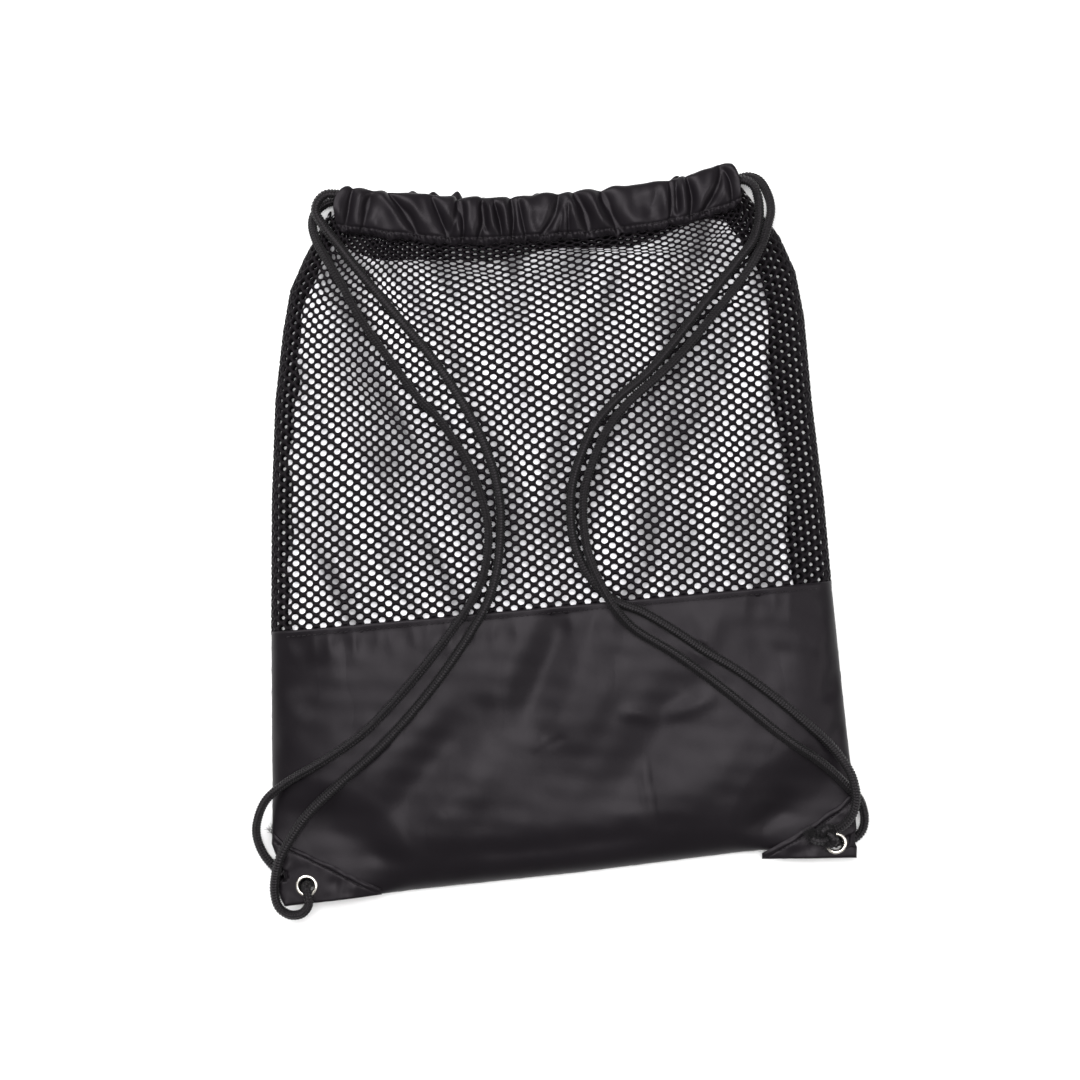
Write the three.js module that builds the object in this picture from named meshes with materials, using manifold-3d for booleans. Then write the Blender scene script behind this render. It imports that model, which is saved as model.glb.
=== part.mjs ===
// Drawstring backpack lying flat on its back: a gathered casing round the mouth, a net
// front over a white liner, a plain lower panel, reinforced corners with eyelets, and two
// cords whose doubled strands are the shoulder straps. Millimetres, +X across the bag,
// +Y towards the mouth, +Z up from the surface it lies on.

import * as THREE from 'three';
import { mergeVertices } from 'three/addons/utils/BufferGeometryUtils.js';
import Module from 'manifold-3d';

const wasm = await Module();
wasm.setup();

// ---------------------------------------------------------------- driving dimensions

const CLOTH = 0.9;             // thickness that stands for each layer of cloth
const GAP = 0.3;               // space kept between two pieces that touch
const CORD_RADIUS = 3.0;
const CORD_GAP = 1.0;          // space between a resting cord and the panel under it
const CORD_SIDES = 8;
const CORD_STEP = 15;          // length of one straight stretch of a cord's tube
const EXIT_DEPTH = 1.2;        // how far inside the casing's end a cord's hidden run stops

const SEAM_Y = -51;            // where the net meets the lower panel
const BOTTOM_Y = -226;
const EDGE_HEIGHT = 3.5;       // outside of the front panel where it meets the side seam
const CROWN_HEIGHT = 20;       // outside of the front panel over the middle of the bag
const SIDE_ROLL = 45;          // width over which the front rises from a side seam
const BOTTOM_ROLL = 40;
const TOP_ROLL = 40;
const TOP_DROP = 1.4;          // how far the net falls again to meet the casing

const SEAM_WIDTH = 4;          // seam allowance inside the side and bottom seams
const SEAM_THICKNESS = 0.9;
const SEAM_GAP = 0.4;          // between the seam allowance and the panel under it

// The bag's two sides, from the bottom to the shoulder: [y, x].
const LEFT_SIDE = [[-226, -180], [-203, -181], [-186, -187], [-120, -182], [-51, -176],
  [33, -168], [96, -160], [140, -151], [166, -144], [186, -133], [201, -123]];
const RIGHT_SIDE = [[-226, 184], [-190, 187], [-127, 186], [-51, 185], [1, 185],
  [65, 183], [120, 183], [149, 180], [172, 172], [191, 160]];

// The gathered casing's centre line: [x, y].
const CASING_LINE = [[-109, 214], [-94, 211], [-76, 207], [-38, 200], [-6, 197], [57, 196],
  [96, 197.5], [120, 201], [134, 204], [148, 207]];
const CASING_HALF_HEIGHT = 15;
const CASING_HALF_THICKNESS = 4.5;
const CASING_WALL = 0.8;
const CASING_STEPS = 20;
const BACK_CASING_Z = CASING_HALF_THICKNESS;
const FRONT_CASING_Z = 18.2;
const CASING_LEFT = CASING_LINE[0][0];
const CASING_RIGHT = CASING_LINE.at(-1)[0];

// Corners: the eyelet's centre, how far the corner is held up by what lies under it, and
// the corner patch's two legs.
const LEFT_CORNER = {
  x: -167, y: -214, lift: 12, side: -1, acrossLeg: 60, upLeg: 48, bottom: BOTTOM_Y,
};
const RIGHT_CORNER = {
  x: 172, y: -218, lift: 7.5, side: 1, acrossLeg: 60, upLeg: 43, bottom: -229,
};
const CORNER_FLAT = 20;        // radius round an eyelet where the corner lies level
const CORNER_FALL = 50;        // width over which it comes down again
const PATCH_GAP = 0.8;
const PATCH_THICKNESS = 0.7;
const PATCH_TIP = 4;

const EYELET_OUTER = 7.0;
const EYELET_BARREL = 5.5;
const EYELET_INNER = 4.6;
const EYELET_HOLE = 6.0;       // hole punched in the cloth
const EYELET_FLANGE = 1.0;
const WASHER_INNER = 5.8;
const WASHER_THICKNESS = 0.6;

const LINER_LEFT = 13;         // how far the liner stops short of each side
const LINER_RIGHT = 25;
const LINER_BOTTOM = -180;
const LINER_GAP = 1.8;
const LINER_THICKNESS = 0.8;

const THREAD_WIDTH = 1.0;
const THREAD_HEIGHT = 0.4;

// ---------------------------------------------------------------- finishes

const finish = (color, roughness, metalness = 0) => () =>
  new THREE.MeshStandardMaterial({ color, roughness, metalness });
const NYLON = finish(0x2e2c30, 0.55);
const NET = finish(0x1d1c1f, 0.7);
const WHITE_CLOTH = finish(0xe4e4e8, 0.9);
const CORD = finish(0x161617, 0.75);
const METAL = finish(0xc9c4bb, 0.25, 1);
const THREAD = finish(0x1a1a1c, 0.6);

// ---------------------------------------------------------------- helpers

const backpack = new THREE.Group();

function add(name, geometry, material) {
  const mesh = new THREE.Mesh(geometry, material());
  mesh.name = name;
  backpack.add(mesh);
}

// Straight-line reading of a list of [key, value] pairs.
function along(pairs, key) {
  const last = pairs.length - 1;
  let i = 0;
  while (i < last - 1 && key > pairs[i + 1][0]) i += 1;
  const [k0, v0] = pairs[i];
  const [k1, v1] = pairs[i + 1];
  return v0 + (v1 - v0) * (key - k0) / (k1 - k0);
}

const lerp = THREE.MathUtils.lerp;
const smooth = (t) => THREE.MathUtils.smoothstep(t, 0, 1);
const quarterRound = (t) => Math.sqrt(1 - (1 - Math.min(Math.max(t, 0), 1)) ** 2);

// Moves every vertex of a geometry to where place() says.
function warp(geometry, place) {
  const position = geometry.attributes.position;
  const p = new THREE.Vector3();
  for (let i = 0; i < position.count; i += 1) {
    p.fromBufferAttribute(position, i);
    position.setXYZ(i, ...place(p));
  }
  return geometry;
}

function toManifold(geometry) {
  const bare = geometry.clone();
  bare.deleteAttribute('normal');
  bare.deleteAttribute('uv');
  const merged = mergeVertices(bare, 1e-4);
  return new wasm.Manifold(new wasm.Mesh({
    numProp: 3,
    vertProperties: Float32Array.from(merged.attributes.position.array),
    triVerts: Uint32Array.from(merged.index.array),
  }));
}

function fromManifold(solid) {
  const mesh = solid.getMesh();
  const geometry = new THREE.BufferGeometry();
  geometry.setAttribute('position', new THREE.BufferAttribute(mesh.vertProperties, 3));
  geometry.setIndex(new THREE.BufferAttribute(mesh.triVerts, 1));
  return geometry;
}

const cut = (geometry, cutters) => fromManifold(
  cutters.reduce((solid, cutter) => solid.subtract(toManifold(cutter)), toManifold(geometry)),
);

// A thin sheet over a grid of u and v values; place(u, v) gives [x, y, bottom, top].
function sheet(us, vs, place) {
  const columns = us.length - 1;
  const rows = vs.length - 1;
  return warp(new THREE.BoxGeometry(1, 1, 1, columns, rows, 1), (p) => {
    const u = us[Math.round((p.x + 0.5) * columns)];
    const v = vs[Math.round((p.y + 0.5) * rows)];
    const [x, y, bottom, top] = place(u, v);
    return [x, y, p.z > 0 ? top : bottom];
  });
}

const evenly = (count) => Array.from({ length: count + 1 }, (_, i) => i / count);

// ---------------------------------------------------------------- the bag's surfaces

const leftSide = (y) => along(LEFT_SIDE, y);
const rightSide = (y) => along(RIGHT_SIDE, y);
const casingY = (x) => along(CASING_LINE, x);

// Where the net ends under the casing; past the casing's ends it runs out to the shoulders.
function netTop(u) {
  const x = lerp(LEFT_SIDE.at(-1)[1], RIGHT_SIDE.at(-1)[1], u);
  const underCasing = casingY(THREE.MathUtils.clamp(x, CASING_LEFT, CASING_RIGHT))
    - CASING_HALF_HEIGHT - 2 * GAP;
  const leftShoulder = smooth((CASING_LEFT - x) / 11);
  const rightShoulder = smooth((x - CASING_RIGHT) / 12);
  const shoulderY = leftShoulder > 0 ? LEFT_SIDE.at(-1)[0] : RIGHT_SIDE.at(-1)[0];
  return lerp(underCasing, shoulderY, Math.max(leftShoulder, rightShoulder));
}

const cornerDistance = (corner, x, y) => Math.hypot(x - corner.x, y - corner.y);

function cornerLift(x, y) {
  const lifts = [LEFT_CORNER, RIGHT_CORNER].map((corner) => corner.lift
    * (1 - smooth((cornerDistance(corner, x, y) - CORNER_FLAT) / CORNER_FALL)));
  return Math.max(...lifts);
}

// Height of the outside of the front of the bag above the surface it lies on.
function frontHeight(x, y) {
  const lift = cornerLift(x, y);
  const fromSide = Math.min(x - leftSide(y), rightSide(y) - x);
  const u = (x - leftSide(y)) / (rightSide(y) - leftSide(y));
  const dome = quarterRound(fromSide / SIDE_ROLL) * quarterRound((y - BOTTOM_Y) / BOTTOM_ROLL);
  const nearest = Math.min(cornerDistance(LEFT_CORNER, x, y), cornerDistance(RIGHT_CORNER, x, y));
  const open = smooth((nearest - CORNER_FLAT) / CORNER_FALL);
  const drop = TOP_DROP * (1 - quarterRound((netTop(u) - y) / TOP_ROLL));
  return lift + EDGE_HEIGHT + (CROWN_HEIGHT - EDGE_HEIGHT - lift) * dome * open - drop * dome;
}

// Columns close together near the sides, where the front curves down.
const PANEL_WIDTH = 368;
const columnsFrom = (distances, middle) => [
  ...distances.map((d) => d / PANEL_WIDTH),
  ...middle,
  ...distances.map((d) => 1 - d / PANEL_WIDTH).reverse(),
];
const CORNER_STEPS = [0, 3, 8, 15, 23, 31, 40, 50, 62, 76];
const LOWER_COLUMNS = columnsFrom(CORNER_STEPS, [0.3, 0.5, 0.7]);
const underCasing = CASING_LINE.slice(1, -1)
  .map(([x]) => THREE.MathUtils.inverseLerp(LEFT_SIDE.at(-1)[1], RIGHT_SIDE.at(-1)[1], x));
const NET_COLUMNS = columnsFrom([0, 3, 8, 16, 28], underCasing);
const LOWER_ROWS = [0, 4, 9, 15, 23, 31, 40, 52, 68, SEAM_Y - BOTTOM_Y]
  .map((d) => d / (SEAM_Y - BOTTOM_Y));
const NET_ROWS = [0, 0.25, 0.5, 0.7, 0.82, 0.9, 0.96, 1];

function lowerPoint(u, v) {
  const y = lerp(BOTTOM_Y, SEAM_Y - GAP / 2, v);
  return [lerp(leftSide(y), rightSide(y), u), y];
}

function netPoint(u, v) {
  const y = lerp(SEAM_Y + GAP / 2, netTop(u), v);
  return [lerp(leftSide(y), rightSide(y), u), y];
}

const onFront = (point) => (u, v) => {
  const [x, y] = point(u, v);
  const top = frontHeight(x, y);
  return [x, y, top - CLOTH, top];
};

const onBack = (point) => (u, v) => {
  const [x, y] = point(u, v);
  const bottom = cornerLift(x, y);
  return [x, y, bottom, bottom + CLOTH];
};

function eyeletPunch(corner) {
  const punch = new THREE.CylinderGeometry(EYELET_HOLE, EYELET_HOLE, 60, 24);
  return punch.rotateX(Math.PI / 2).translate(corner.x, corner.y, corner.lift);
}

const punches = [LEFT_CORNER, RIGHT_CORNER].map(eyeletPunch);

add('front_lower_panel', cut(sheet(LOWER_COLUMNS, LOWER_ROWS, onFront(lowerPoint)), punches), NYLON);
add('back_lower_panel', cut(sheet(LOWER_COLUMNS, LOWER_ROWS, onBack(lowerPoint)), punches), NYLON);
add('front_net_panel', sheet(NET_COLUMNS, NET_ROWS, onFront(netPoint)), NET);
add('back_net_panel', sheet(NET_COLUMNS, NET_ROWS, onBack(netPoint)), NET);

// ---------------------------------------------------------------- the white liner

function linerPoint(u, v) {
  const top = netTop(u) - 12;
  const y = lerp(LINER_BOTTOM, top, v);
  const x = lerp(leftSide(y) + LINER_LEFT, rightSide(y) - LINER_RIGHT, u);
  const z = frontHeight(x, y) - CLOTH - LINER_GAP;
  return [x, y, z - LINER_THICKNESS, z];
}

const LINER_COLUMNS = [0, 0.03, 0.07, 0.13, 0.5, 0.87, 0.95, 1];
const LINER_ROWS = [0, 0.04, 0.1, 0.3, 0.6, 0.85, 0.93, 1];
add('inner_liner', sheet(LINER_COLUMNS, LINER_ROWS, linerPoint), WHITE_CLOTH);

// ---------------------------------------------------------------- seams

// A seam allowance between the front and back cloth, along one side. It bends where the
// panels' own rows do, so that it keeps its distance from both.
function sideSeam(side, edge, shoulder) {
  const ys = [
    ...LOWER_ROWS.slice(1, -1).map((v) => lerp(BOTTOM_Y, SEAM_Y, v)),
    ...NET_ROWS.map((v) => lerp(SEAM_Y, shoulder - 2, v)),
  ];
  return sheet(evenly(1), evenly(ys.length - 1), (u, v) => {
    const y = ys[Math.round(v * (ys.length - 1))];
    const x = edge(y) - side * SEAM_WIDTH * (side > 0 ? 1 - u : u);
    const bottom = cornerLift(x, y) + CLOTH + SEAM_GAP;
    return [x, y, bottom, bottom + SEAM_THICKNESS];
  });
}

add('left_side_seam', sideSeam(-1, leftSide, LEFT_SIDE.at(-1)[0]), NYLON);
add('right_side_seam', sideSeam(1, rightSide, RIGHT_SIDE.at(-1)[0]), NYLON);

const BOTTOM_SEAM_COLUMNS = LOWER_COLUMNS.slice(4, -4);
const bottomSeamSpan = BOTTOM_SEAM_COLUMNS.length - 1;
add('bottom_seam', sheet(evenly(bottomSeamSpan), evenly(1), (u, v) => {
  const column = BOTTOM_SEAM_COLUMNS[Math.round(u * bottomSeamSpan)];
  const x = lerp(leftSide(BOTTOM_Y), rightSide(BOTTOM_Y), column);
  const y = BOTTOM_Y + v * SEAM_WIDTH;
  const bottom = cornerLift(x, y) + CLOTH + SEAM_GAP;
  return [x, y, bottom, bottom + SEAM_THICKNESS];
}), NYLON);

// A row of stitching, as one low ridge on the front of the bag along a line of [x, y] points.
function stitching(points, height) {
  const line = new THREE.CatmullRomCurve3(points.map(([x, y]) => new THREE.Vector3(x, y, 0)));
  const steps = Math.ceil(line.getLength() / 10);
  return sheet(evenly(steps), evenly(1), (u, v) => {
    const p = line.getPointAt(u);
    const t = line.getTangentAt(u);
    const offset = (v - 0.5) * THREAD_WIDTH;
    const bottom = height(p.x, p.y) + GAP;
    return [p.x - t.y * offset, p.y + t.x * offset, bottom, bottom + THREAD_HEIGHT];
  });
}

const HEM_STITCH_Y = SEAM_Y - 4;
add('front_hem_stitching', stitching(
  [[leftSide(HEM_STITCH_Y) + 30, HEM_STITCH_Y], [0, HEM_STITCH_Y],
    [rightSide(HEM_STITCH_Y) - 30, HEM_STITCH_Y]],
  frontHeight,
), THREAD);

// ---------------------------------------------------------------- gathered casings

// Where a cord doubles back from one casing to the other inside the casings' ends.
const TURN_RADIUS = (FRONT_CASING_Z - BACK_CASING_Z) / 2;
const LEFT_TURN = { x: CASING_LEFT + TURN_RADIUS + CORD_RADIUS + 0.3, offset: -5 };
const RIGHT_TURN = { x: CASING_RIGHT - TURN_RADIUS - CORD_RADIUS - 0.3, offset: 9.6 };

function turnSlot(turn, outward) {
  const length = TURN_RADIUS + CORD_RADIUS + 8;
  const slot = new THREE.BoxGeometry(length, 2 * CORD_RADIUS + 1.4, TURN_RADIUS);
  const middle = (FRONT_CASING_Z + BACK_CASING_Z) / 2;
  const x = turn.x + outward * (length / 2 - 4);
  return slot.translate(x, casingY(turn.x + outward * TURN_RADIUS / 2) + turn.offset, middle);
}

const turnSlots = [turnSlot(LEFT_TURN, -1), turnSlot(RIGHT_TURN, 1)];

function casing(z) {
  const outline = (Ring, halfHeight, halfThickness, corner) => {
    const ring = new Ring();
    const h = halfHeight - corner;
    const t = halfThickness - corner;
    ring.absarc(h, t, corner, 0, Math.PI / 2);
    ring.absarc(-h, t, corner, Math.PI / 2, Math.PI);
    ring.absarc(-h, -t, corner, Math.PI, Math.PI * 1.5);
    ring.absarc(h, -t, corner, Math.PI * 1.5, Math.PI * 2);
    ring.closePath();
    return ring;
  };
  const section = outline(THREE.Shape, CASING_HALF_HEIGHT, CASING_HALF_THICKNESS, 3);
  section.holes.push(outline(THREE.Path, CASING_HALF_HEIGHT - CASING_WALL,
    CASING_HALF_THICKNESS - CASING_WALL, 2.2));
  const tube = new THREE.ExtrudeGeometry(section, {
    depth: 1, steps: CASING_STEPS, curveSegments: 1, bevelEnabled: false,
  });
  const shaped = warp(tube, (p) => {
    const x = lerp(CASING_LEFT, CASING_RIGHT, p.z);
    return [x, casingY(x) + p.x, z + p.y];
  });
  return cut(shaped, turnSlots);
}

add('front_casing', casing(FRONT_CASING_Z), NYLON);
add('back_casing', casing(BACK_CASING_Z), NYLON);

const CASING_STITCH_INSET = 11.5;
const casingTop = () => FRONT_CASING_Z + CASING_HALF_THICKNESS;
add('casing_stitching', stitching(
  [-102, -76, -38, 0, 40, 80, 110, 140].map((x) => [x, casingY(x) - CASING_STITCH_INSET]),
  casingTop,
), THREAD);

// ---------------------------------------------------------------- corner patches

const patchHeight = (x, y) => frontHeight(x, Math.max(y, BOTTOM_Y)) + PATCH_GAP;
const patchTall = (corner, across) => lerp(corner.upLeg, PATCH_TIP, across ** 0.9);

function cornerPatch(corner) {
  const edge = corner.side < 0 ? leftSide : rightSide;
  const steps = CORNER_STEPS.slice(0, -2).concat(corner.acrossLeg);
  const span = steps.length - 1;
  const outline = sheet(evenly(span), evenly(7), (u, v) => {
    const column = Math.round(u * span);
    const inward = steps[corner.side < 0 ? column : span - column];
    const y = corner.bottom + v * patchTall(corner, inward / corner.acrossLeg);
    const x = edge(Math.max(y, BOTTOM_Y)) - corner.side * inward;
    const bottom = patchHeight(x, y);
    return [x, y, bottom, bottom + PATCH_THICKNESS];
  });
  return cut(outline, [eyeletPunch(corner)]);
}

add('left_corner_patch', cornerPatch(LEFT_CORNER), NYLON);
add('right_corner_patch', cornerPatch(RIGHT_CORNER), NYLON);

function patchStitching(corner) {
  const edge = corner.side < 0 ? leftSide : rightSide;
  const points = evenly(4).map((t) => {
    const across = lerp(0.1, 0.86, t);
    const y = corner.bottom + patchTall(corner, across) - 4.5;
    return [edge(Math.max(y, BOTTOM_Y)) - corner.side * across * corner.acrossLeg, y];
  });
  return stitching(points, (x, y) => patchHeight(x, y) + PATCH_THICKNESS + 0.2);
}

add('left_patch_stitching', patchStitching(LEFT_CORNER), THREAD);
add('right_patch_stitching', patchStitching(RIGHT_CORNER), THREAD);

// ---------------------------------------------------------------- eyelets

const EYELET_SEGMENTS = 16;
const layersAt = (corner) => corner.lift + EDGE_HEIGHT + PATCH_GAP + PATCH_THICKNESS + GAP;

function eyelet(corner) {
  const seat = layersAt(corner);
  const foot = corner.lift - 0.2;
  const profile = [
    [EYELET_INNER, foot], [EYELET_BARREL, foot], [EYELET_BARREL, seat], [EYELET_OUTER, seat],
    [EYELET_OUTER - 0.4, seat + 0.7 * EYELET_FLANGE], [5.8, seat + EYELET_FLANGE],
    [EYELET_INNER + 0.3, seat + 0.6 * EYELET_FLANGE], [EYELET_INNER, seat - 0.2],
    [EYELET_INNER, foot],
  ].map(([r, z]) => new THREE.Vector2(r, z));
  const ring = new THREE.LatheGeometry(profile, EYELET_SEGMENTS);
  return ring.rotateX(Math.PI / 2).translate(corner.x, corner.y, 0);
}

function washer(corner) {
  const top = corner.lift - GAP;
  const bottom = top - WASHER_THICKNESS;
  const profile = [
    [WASHER_INNER, bottom], [EYELET_OUTER, bottom], [EYELET_OUTER, top], [WASHER_INNER, top],
    [WASHER_INNER, bottom],
  ].map(([r, z]) => new THREE.Vector2(r, z));
  const ring = new THREE.LatheGeometry(profile, EYELET_SEGMENTS);
  return ring.rotateX(Math.PI / 2).translate(corner.x, corner.y, 0);
}

add('left_eyelet', eyelet(LEFT_CORNER), METAL);
add('right_eyelet', eyelet(RIGHT_CORNER), METAL);
add('left_eyelet_washer', washer(LEFT_CORNER), METAL);
add('right_eyelet_washer', washer(RIGHT_CORNER), METAL);

// ---------------------------------------------------------------- cords

function cordTube(points) {
  const path = new THREE.CatmullRomCurve3(points);
  const section = new THREE.Shape().absarc(0, 0, CORD_RADIUS, 0, Math.PI * 2);
  return new THREE.ExtrudeGeometry(section, {
    steps: Math.max(4, Math.ceil(path.getLength() / CORD_STEP)),
    curveSegments: CORD_SIDES / 2,
    bevelEnabled: false,
    extrudePath: path,
  });
}

// A point given as [x, y] rests on the front of the bag; [x, y, z] is placed by hand.
function cordPoint([x, y, z]) {
  const rest = frontHeight(x, y) + CORD_RADIUS + CORD_GAP;
  return new THREE.Vector3(x, y, z ?? rest);
}

// The run through both casings, doubling back inside the casings' far end.
function casingRun(turn, outward, offsets) {
  const exitX = outward > 0 ? CASING_LEFT + EXIT_DEPTH : CASING_RIGHT - EXIT_DEPTH;
  const lane = (z) => evenly(12).map((t) => {
    const x = lerp(exitX, turn.x, t);
    return new THREE.Vector3(x, casingY(x) + along(offsets, x), z);
  });
  const middle = (FRONT_CASING_Z + BACK_CASING_Z) / 2;
  const bend = [30, 60, 90, 120, 150].map((degrees) => {
    const angle = THREE.MathUtils.degToRad(degrees);
    const x = turn.x + outward * TURN_RADIUS * Math.sin(angle);
    return new THREE.Vector3(x, casingY(x) + turn.offset, middle + TURN_RADIUS * Math.cos(angle));
  });
  const path = new THREE.CatmullRomCurve3([
    ...lane(FRONT_CASING_Z), ...bend, ...lane(BACK_CASING_Z).reverse(),
  ]);
  const section = new THREE.Shape().absarc(0, 0, CORD_RADIUS, 0, Math.PI * 2);
  return new THREE.ExtrudeGeometry(section, {
    steps: 72, curveSegments: CORD_SIDES / 2, bevelEnabled: false, extrudePath: path,
  });
}

// Each cord's lane in the casings: [x, distance above the centre line].
const LEFT_CORD_LANE = [[-109, 9.5], [-60, 7], [60, 7], [148, 9.6]];
const RIGHT_CORD_LANE = [[-109, -5], [-60, -6], [60, -5], [125, 0.5], [148, 3]];
add('left_cord_casing_run', casingRun(RIGHT_TURN, 1, LEFT_CORD_LANE), CORD);
add('right_cord_casing_run', casingRun(LEFT_TURN, -1, RIGHT_CORD_LANE), CORD);

// Each strand leaves the casing in a small arc (top), lies over the front of the bag
// (strand), and ends at its corner (tail). A left strand swings about the line between its
// first and last point. The right ones cross, so both swing as one about RIGHT_SWING. Near
// its ends each strand runs along its swing line.
const RIGHT_SWING = [new THREE.Vector3(162.6, 199, 14.5), new THREE.Vector3(184.3, -182.15, 19.15)];
const STRANDS = {
  left_inner: {
    top: [[-109, 223.5, 18.2], [-115, 223.6, 18.2], [-120, 220, 18]],
    strand: [[-122.3, 213.5, 17.8], [-118, 203.5, 18.6], [-109.5, 190.5], [-101, 177],
      [-85, 154], [-73, 137], [-59, 117], [-48, 99], [-38, 79], [-29, 57], [-24, 37],
      [-22, 16], [-24, -5], [-28, -25], [-35, -43], [-47, -61], [-68, -87], [-89, -109],
      [-114, -131.5], [-139, -150], [-161, -167.5, 22.4], [-175, -184, 20.6],
      [-182.5, -195.5, 20.4], [-186.2, -206, 18.4]],
    tail: [[-187.8, -217, 16.9], [-185.6, -226.5, 17], [-179, -231.4, 18.6],
      [-171, -230.8, 21.2], [-166.2, -225.5, 23.6], [-166.2, -219.6, 25],
      [-166.8, -215.4, 23.6], [-167, -214, 19.9]],
  },
  left_outer: {
    top: [[-109, 220.5, 4.5], [-117, 219, 4.9], [-123.4, 213.5, 6.6]],
    strand: [[-125.6, 206.5, 9], [-124, 196, 14], [-119.5, 185.5], [-111, 168],
      [-99, 141], [-82, 112], [-67, 88], [-57, 76], [-48, 61], [-39, 43], [-34, 25],
      [-31, 7], [-32, -9], [-37.5, -29], [-47, -44.5], [-65, -66], [-87, -89], [-105, -106],
      [-124, -121.5], [-150, -136], [-174, -147.5], [-188.5, -158, 14.6],
      [-195.6, -172, 10.5]],
    tail: [[-196.6, -181, 8.2], [-193.8, -192, 5.4], [-188, -201, 3.9],
      [-182.4, -206.4, 3.6]],
  },
  right_outer: {
    top: [[148.2, 211, 4.5], [155, 212, 5.6], [161.8, 208.4, 9]],
    strand: [[166, 199.18, 13], [167, 189, 16.4], [163.8, 178, 19.8], [158.5, 166],
      [149.5, 152.5], [136, 137], [118, 118.5], [101.5, 102], [84, 88], [64, 73],
      [49.5, 57], [40, 40], [32, 20], [29.8, 2], [30.2, -14, 24.8], [31.5, -22, 27.8],
      [33.6, -30, 29.6], [37.2, -40, 30.8], [43, -53, 30.2], [49, -62, 27.4],
      [56, -70, 25], [79, -87], [104, -108.5], [122, -125.5], [139, -142], [151, -152.5],
      [163, -162], [174, -172.5, 17], [182.3, -182.3, 15.8]],
    tail: [[188.7, -190.2, 15], [191.6, -198.6, 11], [191.9, -206.6, 7.6], [189.6, -213, 4.6], [184.8, -216.9, 3.5], [179, -218, 3.4],
      [172, -218, 3.3]],
  },
  right_inner: {
    top: [[148.4, 209, 18.2], [152.8, 208.2, 18], [157.2, 204.6, 17]],
    strand: [[159.2, 198.82, 16], [159.2, 186, 18.6], [154.2, 171, 21.4], [141, 156],
      [127, 141], [109.5, 122.5], [94, 106], [78, 91], [57.5, 76.5], [42, 61],
      [32, 43.5], [24.5, 24], [22, 6], [22.4, -10], [27, -27], [33, -38], [39.5, -46],
      [48, -52.5], [62, -59.5], [81, -73], [99, -87.5], [119, -102], [138, -118.5],
      [159, -139], [174, -155.5, 19.6], [184, -172.5, 21.6], [186.3, -182, 22.5]],
    tail: [[186.4, -192, 22], [183.4, -200, 20.6], [178.4, -205.8, 19.4],
      [172.4, -209.2, 18.4]],
  },
};

// Points a little before and after an end of the swing line, on that line.
const GUIDE = 3.5;

for (const [name, { top, strand, tail }] of Object.entries(STRANDS)) {
  const points = strand.map(cordPoint);
  const first = points[0];
  const last = points.at(-1);
  const [from, to] = name.startsWith('right') ? RIGHT_SWING : [first, last];
  const line = to.clone().sub(from).normalize();
  const near = (end, distance) => end.clone().addScaledVector(line, distance);
  add(`${name}_cord_top`, cordTube([
    ...top.map(cordPoint), near(first, -GUIDE), near(first, -GAP / 2),
  ]), CORD);
  add(`${name}_strand`, cordTube([
    near(first, GAP / 2), near(first, GUIDE), ...points.slice(1, -1),
    near(last, -GUIDE), near(last, -GAP / 2),
  ]), CORD);
  add(`${name}_cord_tail`, cordTube([
    near(last, GAP / 2), near(last, GUIDE), ...tail.map(cordPoint),
  ]), CORD);
}

// The short length of cord inside each eyelet, between the strand above it and below it.
function eyeletCord(corner, from, to) {
  const plug = new THREE.CylinderGeometry(CORD_RADIUS, CORD_RADIUS, to - from, CORD_SIDES);
  return plug.rotateX(Math.PI / 2).translate(corner.x, corner.y, (from + to) / 2);
}

const KNOT_TOP_LEFT = 10.6;
add('left_eyelet_cord', eyeletCord(LEFT_CORNER, KNOT_TOP_LEFT + GAP, 18.5), CORD);
add('right_eyelet_cord', eyeletCord(RIGHT_CORNER, 6.6, 13.4), CORD);

// A pulled-tight knot, as one lumpy solid.
function knot(x, y, bottom, size) {
  const ball = new THREE.SphereGeometry(1, 12, 8).rotateX(Math.PI / 2);
  return warp(ball, (p) => {
    const turn = Math.atan2(p.y, p.x);
    const lump = 1 + 0.08 * Math.sin(3 * turn) * (1 - p.z * p.z);
    return [x + p.x * lump * size[0] / 2, y + p.y * lump * size[1] / 2,
      bottom + (p.z + 1) * size[2] / 2];
  });
}

add('left_knot', knot(-169.5, -210.5, 0.3, [18, 17, KNOT_TOP_LEFT - 0.3]), CORD);
add('right_knot', knot(162.5, -212, 13.8, [17, 13, 9]), CORD);

export default backpack;
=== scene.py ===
"""A drawstring backpack lying on its back, built piece by piece around its solid parts.

Sizes inside this file are in millimetres in the bag's own frame: +X across the bag, +Y
towards the mouth, +Z up. Every mesh is scaled to metres when it is made.
"""

import math

import bpy
import numpy as np
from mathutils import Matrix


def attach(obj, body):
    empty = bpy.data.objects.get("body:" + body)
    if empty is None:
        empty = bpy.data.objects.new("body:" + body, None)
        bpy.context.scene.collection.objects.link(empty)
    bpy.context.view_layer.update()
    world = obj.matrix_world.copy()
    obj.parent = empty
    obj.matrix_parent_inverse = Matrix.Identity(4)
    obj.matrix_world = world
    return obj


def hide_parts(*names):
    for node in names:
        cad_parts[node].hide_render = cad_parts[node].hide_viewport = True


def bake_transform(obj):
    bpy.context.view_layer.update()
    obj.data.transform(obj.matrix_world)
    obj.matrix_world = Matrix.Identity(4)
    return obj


bl_info = {
    "name": "Drawstring Backpack",
    "version": (1, 0, 0),
    "blender": (4, 5, 0),
    "location": "View3D > Sidebar > Backpack",
    "description": "Builds a net and nylon drawstring backpack with braided cord straps",
    "category": "Object",
}

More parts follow.
